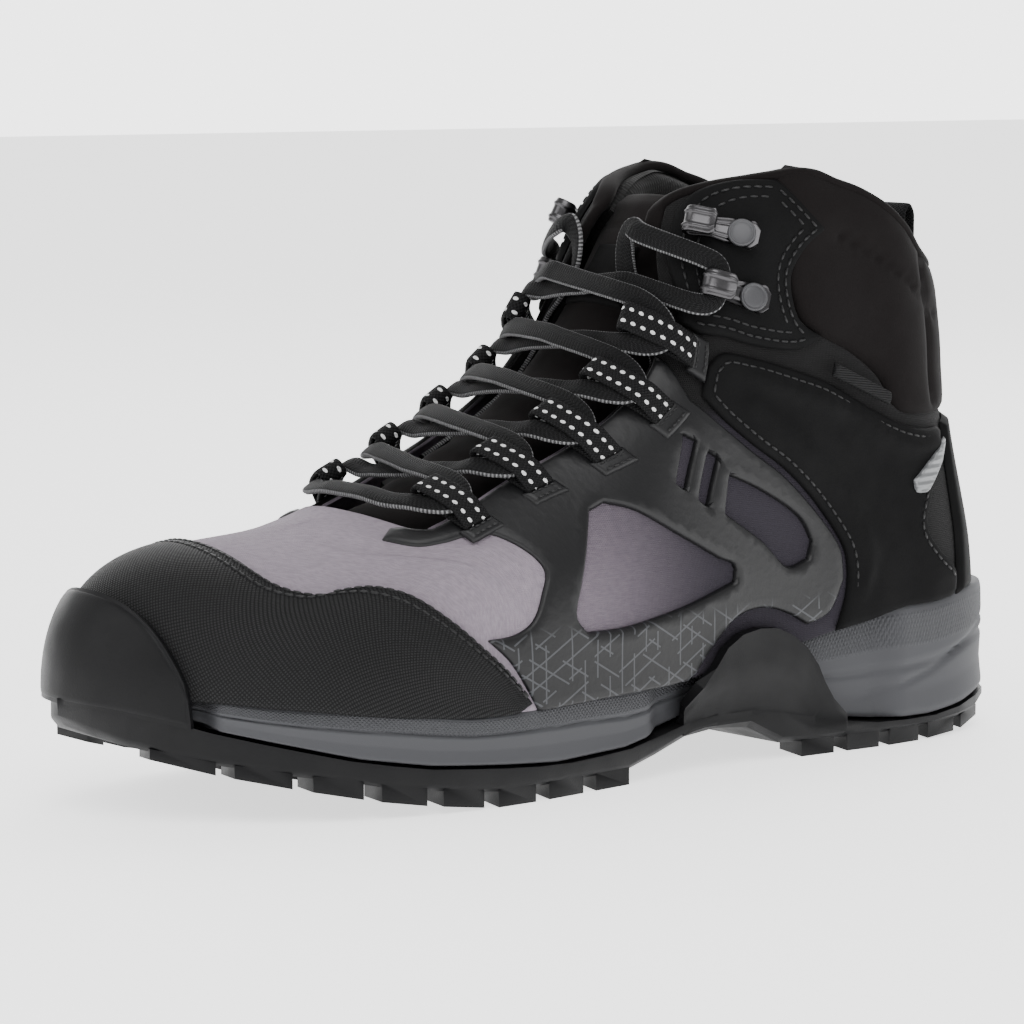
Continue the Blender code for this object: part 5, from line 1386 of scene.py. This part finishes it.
# ---------------------------------------------------------------- upper
def build_vamp():
    """Woven vamp, its lining and the dotted toe cap with two rows of stitches."""
    hidden_rear = [(185, 24.9), (184.5, 38), (185, 52), (187, 63), (195, 71), (207, 72.4),
                   (218, 73.0)]
    grid = soft_ridge(toe_patch(hidden_rear, toe_feather(190, -0.8), toe_outline(226, 34.2),
                                90, 220))
    skin("vamp_textile", grid, *VAMP, look("vamp"), slot="ripstop_grey", replaces=["vamp"])
    rear = [(201, 28.8)] + [(t + 3, z) for t, z in VAMP_REAR[1:]]
    grid = toe_patch(rear, toe_feather(207, 2.2), toe_outline(229, 36.2, inward=0.6), 24, 70)
    skin("forefoot_lining", grid, *FOREFOOT_LINING, look("lining"), slot="lining_textile",
         replaces=["lining_forefoot"])
    grid = soft_ridge(toe_patch(CAP_REAR, toe_feather(201, -0.8), toe_outline(270, 34.2),
                                80, 240))
    v = grid_lengths(grid)[1]
    crease = -0.25 * bell(v - 2.0, 0.5) - 0.22 * bell(v - 4.4, 0.5)
    skin("toe_cap_textile", grid, *TOE_CAP, look("cap"), relief=crease, radius=1.3,
         slot="toe_cap_textile", replaces=["toe_cap"])
    normals = grid_normals(grid)
    for number, distance in ((1, 2.0), (2, 4.4)):
        row = int(np.argmin(np.abs(v[:, grid.shape[1] // 2] - distance)))
        path = grid[row, 4:-4] + normals[row, 4:-4] * 2.0
        stitches(f"toe_cap_stitches_{number}", path, normals[row, 4:-4], look("thread"),
                 pitch=2.9, slot="toe_cap_textile")


def build_quarters():
    """Woven quarters on both sides."""
    seam = unrolled(np.array(SHELL_SEAM[:-1]) + [SEAM, -SEAM])
    feather = unrolled(feather_run(196.8, 12, -0.8, 20))
    outline = closed_outline([
        unrolled([(214.3, 73.9)] + THROAT_EDGE[2:]),
        unrolled([THROAT_EDGE[-1], (118, 162), (110, 165), (101.8, 165.2)]),
        np.concatenate([seam, [(0.2, 96.2)]]),
        [(0.2, 96.2), (0.2, 70), (0.2, 42.3)],
        np.concatenate([[(0.2, 42.3)], feather[::-1]]),
        unrolled([(196.8, 24.7), (197.8, 38), (200.8, 52), (206.8, 66), (214.3, 73.9)])], 3.0)
    for side, word in ((1, "lateral"), (-1, "medial")):
        sheet_panel(f"{word}_quarter_textile", outline * [side, 1], [], *QUARTER, look("textile"),
                    3.5, slot="ripstop_grey", replaces=["quarter_" + word])


def build_overlays():
    """Film overlays with windows."""
    overlay, windows, _, _ = side_outlines()
    for side, word in ((1, "lateral"), (-1, "medial")):
        turn = np.array([side, 1])
        edge = [window * turn for window in windows]

        def rim(u, z, clear):
            """A thin raised line round each window."""
            return 0.35 * bell(clear - 1.5, 0.6) * (rim_clearance(np.stack([u, z], 1), edge) < 3)

        sheet_panel(f"{word}_film", overlay * turn, edge, *OVERLAY, look("film"), 2.4, relief=rim,
                    radius=1.0, slot="overlay_film", replaces=["overlay_" + word])


SADDLE_BEAD = [(112, 110), (101, 106), (88, 102), (71, 96), (61, 90), (51, 87), (41, 87)]
SADDLE_LOW_BEAD = [(114, 102), (102, 95), (90, 86), (78, 75), (71, 65), (68, 56), (71, 46)]


def build_saddles():
    """Nubuck heel saddles with raised beads and edge stitches, and the backstay."""
    _, _, saddle, _ = side_outlines()
    for side, word in ((1, "lateral"), (-1, "medial")):
        turn = np.array([side, 1])
        beads = [smooth_line(unrolled(bead) * turn, 60) for bead in (SADDLE_BEAD, SADDLE_LOW_BEAD)]

        def embossed(u, z, clear):
            """Raised beads, and a groove inside the edge."""
            near = [line_distance(bead, u, z) for bead in beads]
            return (1.3 * bell(near[0], 2.0) + 1.1 * bell(near[1], 2.2)
                    - 0.4 * bell(clear - 3.0, 0.8))

        sheet_panel(f"{word}_saddle", saddle * turn, [], *SADDLE, look("nubuck"), 2.0,
                    relief=embossed, slot="saddle_nubuck", replaces=["heel_saddle_" + word])
        inset_stitches(f"{word}_saddle_stitches", saddle, turn, 2.6, 2.5, "saddle_nubuck",
                       beyond=46)
    stay_top = [(34, 92), (27, 93.5), on_heel(94)]
    stay_low = [(30, 41.5), (20, 42), on_heel(42)]
    grid = wrap_grid(stay_top, stay_low, 60, 30)
    wrapped("backstay_leather", grid, *SADDLE, look("nubuck"), slot="saddle_nubuck",
            replaces=["backstay"])


def build_cuffs():
    """Cuff panels with double edge stitches, reflective wedges and the plain side tag."""
    _, _, _, cuff = side_outlines()
    for side, word in ((1, "lateral"), (-1, "medial")):
        turn = np.array([side, 1])

        def pressed(_, __, clear):
            """Two shallow grooves for the rows of stitches."""
            return -0.35 * bell(clear - 2.6, 0.6) - 0.3 * bell(clear - 5.2, 0.6)

        sheet_panel(f"{word}_cuff", cuff * turn, [], *CUFF, look("nubuck"), 2.0,
                    relief=pressed, slot="saddle_nubuck", replaces=["cuff_panel_" + word])
        for number, inward in ((1, 2.6), (2, 5.2)):
            inset_stitches(f"{word}_cuff_stitches_{number}", cuff, turn, inward, 2.35,
                           "saddle_nubuck")
        wedge = outline_of([[(37.5, 88), (46.5, 81.5)], [(46.5, 81.5), (52, 77)],
                            [(52, 77), (51, 73.5), (47, 73)], [(47, 73), (40.5, 81)],
                            [(40.5, 81), (37.5, 88)]], 1.2)
        sheet_panel(f"{word}_reflective_wedge", wedge * turn, [], *WEDGE, look("reflector"), 1.5,
                    radius=0.4, slot="reflector_silver", replaces=["reflector_" + word])
    tag = outline_of([[(84, 112.5), (73, 107.8), (62, 103)], [(62, 103), (62.8, 99.5)],
                      [(62.8, 99.5), (74, 104.2), (85, 108.8)], [(85, 108.8), (84, 112.5)]], 1.2)
    sheet_panel("side_tag_cloth", tag, [], *TAG, look("tag"), 1.5, radius=0.3,
                slot="tag_black", replaces=["side_tag"])


def build_collar():
    """Softshell collar, puffed between its seams, with the padding and shaft lining inside."""
    top = unrolled(COLLAR_TOP[4:-1] + [on_heel(138)])
    seam = unrolled([(t, z - 2) for t, z in SHELL_SEAM[:-1]] + [on_heel(94)])
    outline = closed_outline([
        np.concatenate([top, top[::-1][1:] * [-1, 1]]),
        [top[0] * [-1, 1], seam[0] * [-1, 1]],
        np.concatenate([seam * [-1, 1], seam[::-1][1:]]),
        [seam[0], top[0]]], 2.4)
    joins = [smooth_line(unrolled([(79, 148), (68, 143), (56, 136), (44, 128), (38, 124)]), 40),
             smooth_line(unrolled([(46, 143), (44, 128), (42, 112), (40, 98)]), 40)]
    joins += [line * [-1, 1] for line in joins]

    def puffed(u, z, clear):
        """Padding that swells away from every seam, flat under the pull tab."""
        near = np.min([line_distance(line, u, z) for line in joins], axis=0)
        full = 1.6 * (1 - np.exp(-np.minimum(near, clear) / 3.5)) - 0.5 * bell(near, 0.9)
        return full * (1 - bell(u, 12) * bell(z - 139, 12)) - 0.6 * bell(u, 10) * bell(z - 139, 7)

    obj = sheet_panel("padded_collar", outline, [], *COLLAR, look("softshell"), 2.2, puffed,
                      radius=2.4, slot="softshell", replaces=["ankle_collar"])
    pad_top = [(124, 157.5), (112, 164.5), (101, 166.3), (95, 166.3), (79, 161.3), (62, 154.3),
               (46, 141.3), (36, 137.2), on_heel(136.6)]
    pad_low = [(118, 122), (104, 118), (90, 115), (70, 113), (50, 112), (36, 112), on_heel(112)]
    grid = wrap_grid(pad_top, pad_low, 170, 44)
    down = np.linspace(0, 1, 44)[None]
    lobes = -0.8 * bell(down - 0.34, 0.03) - 0.6 * bell(down - 0.68, 0.03)
    flat = rolled_lifted(grid[..., 0], grid[..., 1], 0.0)
    rise = rounded(rim_distance(flat), 6.0)
    fall = 5.0 * (1 - rounded(rim_distance(flat), 3.0))
    outer = rolled_lifted(grid[..., 0], grid[..., 1], -1.6 - fall[..., None])
    inner = rolled_lifted(grid[..., 0], grid[..., 1], (-5.0 - (5.4 + lobes) * rise)[..., None])
    points, faces = two_sided(outer, inner)
    uv = np.concatenate([grid.reshape(-1, 2)] * 2)
    obj = add_piece("collar_foam", points, faces, look("lining"), uv, slot="softshell",
                    replaces=["collar_padding"])
    lining_top = [(192, 70), (176, 80), (156, 90), (140, 100), (126, 116), (116, 135), (106, 150),
                  (92, 157), (70, 152), (50, 141), (36, 134), on_heel(133)]
    lining_low = [(186, 33), (150, 31), (120, 33), (90, 37), (60, 43), (36, 46), on_heel(46)]
    grid = wrap_grid(lining_top, lining_low, 120, 40)
    wrapped("shaft_lining", grid, *SHAFT_LINING, look("lining"), slot="lining_textile",
            replaces=["lining_shaft"])


def collar_binding():
    """Rolled edge: a cord along the collar's top line and down the cuff's front edge."""
    top = unrolled([(131.5, 147), (129, 152.5), (125.5, 157.8), (121, 161.2), (114.5, 163.6),
                    (107, 165), (100, 166), (93, 166.8), (86, 166)] + COLLAR_TOP[6:-1]
                   + [on_heel(138)])
    line = np.concatenate([top, top[::-1][1:] * [-1, 1]])
    line = smooth_line(line, 420)
    path = rolled_lifted(line[:, 0], line[:, 1] - 0.6, -1.3)
    up = np.zeros_like(path)
    up[:, 2] = 1.0
    tube("collar_edge", path, up, *COLLAR_EDGE_SIZE, look("softshell"), slot="softshell")


def build_tongue():
    """Tongue: a pleated soft shell, padding with a rolled top edge, and a plain patch."""
    s_top = EDGE_LENGTH - 1
    grid = tongue_grid(7, s_top, 60, 41, extra=9.0)
    grid = soft_ridge(spaced_grid(grid, 90, 60), 30, 90)
    u, v = grid_lengths(grid)
    pleats = 0.55 * np.sin(v / 2.4) * np.clip((70 - v) / 40, 0, 1) * np.clip(v / 8, 0, 1)
    pleats = pleats + 0.8 * bell(v - v[-1:] + 6, 3.0) - 0.5 * bell(v - v[-1:] + 14, 1.0)
    obj = skin("tongue_cloth", grid, *TONGUE, look("softshell"), relief=pleats, radius=2.0,
               body="tongue", slot="softshell", replaces=["tongue_shell"])
    grid = soft_ridge(spaced_grid(tongue_grid(16, s_top, 50, 41, 1.12, 8.6), 70, 50), 30, 90)
    normals = grid_normals(grid)
    rise = rounded(rim_distance(grid), 6.0)
    outer = grid + normals * (-8.3 + 0.9 * rise)[..., None]
    inner = grid + normals * (-8.6 - 4.6 * rise)[..., None]
    points, faces = two_sided(outer, inner)
    u, v = grid_lengths(grid)
    uv = np.concatenate([np.stack([u, v], -1).reshape(-1, 2)] * 2)
    obj = add_piece("tongue_foam", points, faces, look("lining"), uv, body="tongue",
                    slot="lining_textile", replaces=["tongue_padding"])
    patch = soft_ridge(spaced_grid(tongue_grid(106, 126, 12, 21, 0.5), 24, 30), 30, 40)
    skin("tongue_label", patch, *LABEL, look("nubuck"), body="tongue", slot="tag_black",
         replaces=["tongue_patch"])


def build_gussets():
    """Gusset webs beside the tongue, each a plain sheet on the form."""
    for side, word in ((1, "lateral"), (-1, "medial")):
        s = np.linspace(12, 96, 40)
        w = np.linspace(1.34, 1.68, 12)
        grid, _ = throat_point(s[:, None] + 0 * w, side * w[None] + 0 * s[:, None], 0.0)
        skin(f"{word}_gusset_cloth", grid, *GUSSET, look("softshell"), slot="softshell",
             replaces=["gusset_" + word])


# ---------------------------------------------------------------- lacing and hardware
def build_loops():
    """Webbing loops: stations across the throat edge carried into straps, with tack patches."""
    low, high = 3.0, 7.5
    middle, radius = (low + high) / 2, (high - low) / 2
    tip = 0.78
    turn = [(tip - 0.07 * math.sin(a), middle - radius * math.cos(a))
            for a in np.linspace(0, math.pi, 7)]
    stations = [(1.28, low), (1.15, low), (1.0, low)] + turn
    stations += [(0.98, high), (1.08, high - 0.3), (1.18, 5.4), (1.27, 3.3)]
    fine = smooth_line(stations, 70)
    for side, word in ((1, "lateral"), (-1, "medial")):
        for number, s in enumerate(LOOP_S, 1):
            rows = strap_path(side, s, fine, WEBBING_WIDTH + 1.0)
            band(f"{word}_webbing_{number}", rows, 1.3, look("webbing"), slot="webbing",
                 replaces=[f"lace_loop_{word}_{number}"])
            up, across = np.linspace(s - 5.4, s + 5.4, 30), side * np.linspace(1.25, 1.40, 16)
            grid, _ = throat_point(up[:, None], across[None], 0.0)
            skin(f"{word}_tack_patch_{number}", grid, *TACK_PATCH, look("film"),
                 slot="overlay_film")
            normals = grid_normals(grid)
            for row, column in enumerate((5, 11), 1):
                path = grid[4:-4, column] + normals[4:-4, column] * 3.3
                stitches(f"{word}_tack_stitches_{number}_{row}", path, normals[4:-4, column],
                         look("thread"), pitch=2.0, length=1.6, radius=0.32, slot="overlay_film")


def build_lace():
    """The lace on its CAD route, as a flat-oval braid."""
    points, normals = lace_route()
    tube("braided_lace", points, normals, *LACE_SIZE, look("lace"), slot="lace_cord",
         replaces=["lace"])


def build_hooks():
    """Speed hooks: a stamped strip with two ribs that curls over the lace, and a rivet disc."""
    for side, word in ((1, "lateral"), (-1, "medial")):
        for number, name in ((1, "lower"), (2, "upper")):
            origin, along, across, normal, length = hook_frame(side, number)
            low, high = 4.1, 9.1
            middle, radius = (low + high) / 2, (high - low) / 2
            stations = [(-5.0, low), (1, low), (length - 4, low)]
            stations += [(length - 1 + radius * math.sin(a), middle - radius * math.cos(a))
                         for a in np.linspace(0, math.pi, 8)]
            stations += [(length - 5, high + 0.2), (length - 7, high + 0.9)]
            line = smooth_line(stations, 60)
            heading = np.gradient(line, axis=0)
            heading /= np.linalg.norm(heading, axis=1, keepdims=True)
            outward = np.stack([heading[:, 1], -heading[:, 0]], 1)
            y = np.linspace(-1, 1, 25)
            length_along = np.linspace(0, 1, 60)
            half = HOOK_WIDTH / 2 * (1 + 0.16 * bell(length_along, 0.12)
                                     - 0.20 * bell(length_along - 0.42, 0.12))
            end = (np.clip((length_along + 0.02) / 0.08, 0, 1)
                   * np.clip((1.02 - length_along) / 0.05, 0, 1))
            half = half * np.sqrt(np.clip(end, 0.05, 1))
            ribs = (0.45 * bell(np.abs(y) - 0.55, 0.14)[None]
                    * bump(length_along, 0.2, 0.95, 0.08)[:, None])
            edge = -0.3 * np.clip((np.abs(y) - 0.85) / 0.15, 0, 1)[None]**2
            sides = []
            for offset in (0.5, -0.5):
                rise = offset + ribs + edge
                d = line[:, :1] + outward[:, :1] * rise
                h = line[:, 1:] + outward[:, 1:] * rise
                sideways = (y[None] * half[:, None])[..., None] * across
                sides.append(origin + d[..., None] * along + sideways + h[..., None] * normal)
            points, faces = two_sided(*sides)
            add_piece(f"{word}_{name}_hook", points, faces, look("metal"), slot="hook_metal",
                      replaces=[f"hook_{word}_{name}"])
            rivet_disc(f"{word}_{name}_rivet", origin + normal * 4.6, normal, along,
                       f"rivet_cap_{word}_{name}")


def rivet_disc(name, centre, normal, along, node):
    """Turned rivet head: a radius and height profile spun about the panel's normal."""
    profile = smooth_line([(3.7, 0), (4.0, 0.5), (3.85, 1.15), (3.45, 1.25), (3.2, 1.0),
                           (2.6, 1.15), (1.3, 1.3), (0.02, 1.35)], 30)
    side = np.cross(normal, along)
    angle = np.linspace(0, 2 * math.pi, 40, endpoint=False)
    spin = np.cos(angle)[:, None] * along + np.sin(angle)[:, None] * side
    rings = centre + profile[:, :1, None] * spin[None] + profile[:, 1:, None] * normal
    faces = grid_faces(30, 40, closed=True) + [tuple(range(40))[::-1],
                                               tuple(range(29 * 40, 30 * 40))]
    add_piece(name, rings.reshape(-1, 3), faces, look("rivet"), slot="rivet_metal",
              replaces=[node])


def build_pull_tab():
    """Webbing pull tab at the back of the collar."""
    base = np.array([float(centre_line(26)), LENGTH / 2 - float(heel_t(138)) + 0.6, 138.8])
    outline = [(0.6, 0.4), (1.0, 4), (1.1, 9), (0.9, 13.5), (-0.6, 15.6), (-2.1, 13.5),
               (-2.5, 9), (-2.3, 3), (-2.0, 0.4)]
    rows = []
    for out, up in smooth_line(outline, 60):
        point = base + [0, out, up]
        rows.append([point - [7, 0, 0], point + [7, 0, 0]])
    band("pull_tab_webbing", np.array(rows), 1.2, look("plain_webbing"), body="pull_tab_body",
         slot="webbing", replaces=["pull_tab"])


# ---------------------------------------------------------------- studio
def build_stage(settings):
    """Pale floor, pale surroundings, three soft lights and the camera."""
    mesh = bpy.data.meshes.new("studio_floor")
    reach = 6.0
    mesh.from_pydata([(-reach, -reach, 0), (reach, -reach, 0), (reach, reach, 0),
                      (-reach, reach, 0)], [], [(0, 1, 2, 3)])
    floor = bpy.data.objects.new("studio_floor", mesh)
    bpy.context.scene.collection.objects.link(floor)
    paint = bpy.data.materials.new("studio floor")
    paint.use_nodes = True
    shader = paint.node_tree.nodes["Principled BSDF"]
    shader.inputs["Base Color"].default_value = (*settings.floor_colour, 1)
    shader.inputs["Roughness"].default_value = 0.85
    shader.inputs["Emission Color"].default_value = (1, 1, 1, 1)
    shader.inputs["Emission Strength"].default_value = settings.floor_glow
    mesh.materials.append(paint)
    world = bpy.data.worlds.new("pale room")
    world.use_nodes = True
    net = Net(world.node_tree)
    towards = net.add("ShaderNodeVectorMath", operation="DOT_PRODUCT")
    net.put(towards.inputs[0], net.add("ShaderNodeTexCoord").outputs["Generated"])
    towards.inputs[1].default_value = (-math.sin(math.radians(55)), math.cos(math.radians(55)), 0)
    glow = net.span(towards.outputs["Value"], 0.45, 0.93)
    background = world.node_tree.nodes["Background"]
    net.put(background.inputs["Color"], net.mix(glow, (*settings.room_colour, 1),
                                                (*settings.wall_colour, 1)))
    background.inputs["Strength"].default_value = settings.room_light
    bpy.context.scene.world = world
    aim = Vector((-0.007, -0.008, 0.06))
    for name, place, size, power in (("key_light", (0.9, -0.5, 1.3), 1.2, settings.key_power),
                                     ("rim_light", (-0.6, 0.9, 1.1), 1.0, settings.key_power * 0.5),
                                     ("toe_light", (-0.3, -1.5, 0.8), 1.0,
                                      settings.key_power * 0.45)):
        lamp = bpy.data.lights.new(name, "AREA")
        lamp.size = size
        lamp.energy = power
        light = bpy.data.objects.new(name, lamp)
        light.location = place
        light.rotation_euler = (Vector(place) - aim).to_track_quat("Z", "Y").to_euler()
        bpy.context.scene.collection.objects.link(light)
    lens = bpy.data.cameras.new("camera")
    lens.sensor_width = 36.0
    lens.lens = settings.lens
    camera = bpy.data.objects.new("camera", lens)
    look_at = Vector((-0.00718, -0.0078, 0.0708))
    azimuth, elevation = math.radians(55), math.radians(6.55)
    back = Vector((math.sin(azimuth) * math.cos(elevation),
                   -math.cos(azimuth) * math.cos(elevation), math.sin(elevation)))
    camera.location = look_at + back * settings.distance
    camera.rotation_euler = back.to_track_quat("Z", "Y").to_euler()
    bpy.context.scene.collection.objects.link(camera)
    bpy.context.scene.camera = camera


# ---------------------------------------------------------------- add-on
class BootSettings(bpy.types.PropertyGroup):
    """Sizes and colours a user would change."""

    lens: bpy.props.FloatProperty(name="Lens", description="Focal length of the camera",
                                  default=149.7, min=20, unit="CAMERA")
    distance: bpy.props.FloatProperty(name="Camera distance", description="From the boot",
                                      default=1.2, min=0.3, unit="LENGTH")
    key_power: bpy.props.FloatProperty(name="Key light", description="Power of the main light",
                                       default=18.0, min=0, unit="POWER")
    room_light: bpy.props.FloatProperty(name="Room light", default=3.7, min=0,
                                        description="Strength of the pale surroundings")
    floor_glow: bpy.props.FloatProperty(name="Floor glow", default=1.45, min=0,
                                        description="Light given off by the lit floor")
    wall_colour: bpy.props.FloatVectorProperty(name="Wall colour", subtype="COLOR", size=3,
                                               default=(0.98, 0.98, 0.98), min=0, max=1,
                                               description="Colour of the wall behind the boot")
    room_colour: bpy.props.FloatVectorProperty(name="Room colour", subtype="COLOR", size=3,
                                               default=(0.17, 0.17, 0.17), min=0, max=1,
                                               description="Colour of the surroundings")
    floor_colour: bpy.props.FloatVectorProperty(name="Floor colour", subtype="COLOR", size=3,
                                                default=(0.88, 0.88, 0.88), min=0, max=1,
                                                description="Colour of the floor")


class BOOT_OT_sole(bpy.types.Operator):
    """Build the outsole, midsole and footbed"""

    bl_idname = "boot.sole"
    bl_label = "Sole"

    def execute(self, context):
        """Build this group."""
        copy_of_node("rubber_outsole", "outsole", look("rubber"), 0.35)
        build_bumper()
        build_midsole()
        build_footbed()
        return {"FINISHED"}


class BOOT_OT_upper(bpy.types.Operator):
    """Build the textile upper, the overlays, saddles and cuffs"""

    bl_idname = "boot.upper"
    bl_label = "Upper"

    def execute(self, context):
        """Build this group."""
        build_vamp()
        build_quarters()
        build_overlays()
        build_saddles()
        build_cuffs()
        return {"FINISHED"}


class BOOT_OT_collar(bpy.types.Operator):
    """Build the padded collar, lining, tongue, gussets and pull tab"""

    bl_idname = "boot.collar"
    bl_label = "Collar and tongue"

    def execute(self, context):
        """Build this group."""
        build_collar()
        collar_binding()
        build_tongue()
        build_gussets()
        build_pull_tab()
        return {"FINISHED"}


class BOOT_OT_lacing(bpy.types.Operator):
    """Build the loops, hooks and lace"""

    bl_idname = "boot.lacing"
    bl_label = "Lacing"

    def execute(self, context):
        """Build this group."""
        build_loops()
        build_hooks()
        build_lace()
        return {"FINISHED"}


class BOOT_OT_hidden(bpy.types.Operator):
    """Give the inner CAD pieces that stay their finishes"""

    bl_idname = "boot.hidden"
    bl_label = "Inner pieces"

    def execute(self, context):
        """Build this group."""
        for node, name in (("shank", "rubber"), ("insole_board", "insole"), ("toe_puff", "nubuck"),
                           ("heel_counter", "nubuck"), ("aglet_lateral", "thread"),
                           ("aglet_medial", "thread")):
            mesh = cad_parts[node].data
            mesh.materials.clear()
            mesh.materials.append(look(name))
        return {"FINISHED"}


class BOOT_OT_stage(bpy.types.Operator):
    """Build the floor, lights and camera"""

    bl_idname = "boot.stage"
    bl_label = "Studio"

    def execute(self, context):
        """Build this group."""
        build_stage(context.scene.boot_settings)
        return {"FINISHED"}


class BOOT_PT_panel(bpy.types.Panel):
    """Lists the boot's steps and settings"""

    bl_label = "Hiking boot"
    bl_idname = "BOOT_PT_panel"
    bl_space_type = "VIEW_3D"
    bl_region_type = "UI"
    bl_category = "Boot"

    def draw(self, context):
        """A button for each step, then the settings."""
        for step in STEPS:
            self.layout.operator(step.bl_idname)
        for name in BootSettings.__annotations__:
            self.layout.prop(context.scene.boot_settings, name)


STEPS = (BOOT_OT_sole, BOOT_OT_upper, BOOT_OT_collar, BOOT_OT_lacing, BOOT_OT_hidden,
         BOOT_OT_stage)
CLASSES = (BootSettings,) + STEPS + (BOOT_PT_panel,)


def register():
    """Add the classes and the scene's settings."""
    for cls in CLASSES:
        bpy.utils.register_class(cls)
    bpy.types.Scene.boot_settings = bpy.props.PointerProperty(type=BootSettings)


def unregister():
    """Remove the settings and the classes."""
    del bpy.types.Scene.boot_settings
    for cls in reversed(CLASSES):
        bpy.utils.unregister_class(cls)


def main():
    """Build everything in order."""
    register()
    bpy.ops.boot.sole()
    bpy.ops.boot.upper()
    bpy.ops.boot.collar()
    bpy.ops.boot.lacing()
    bpy.ops.boot.hidden()
    bpy.ops.boot.stage()


if __name__ == "__main__":
    main()
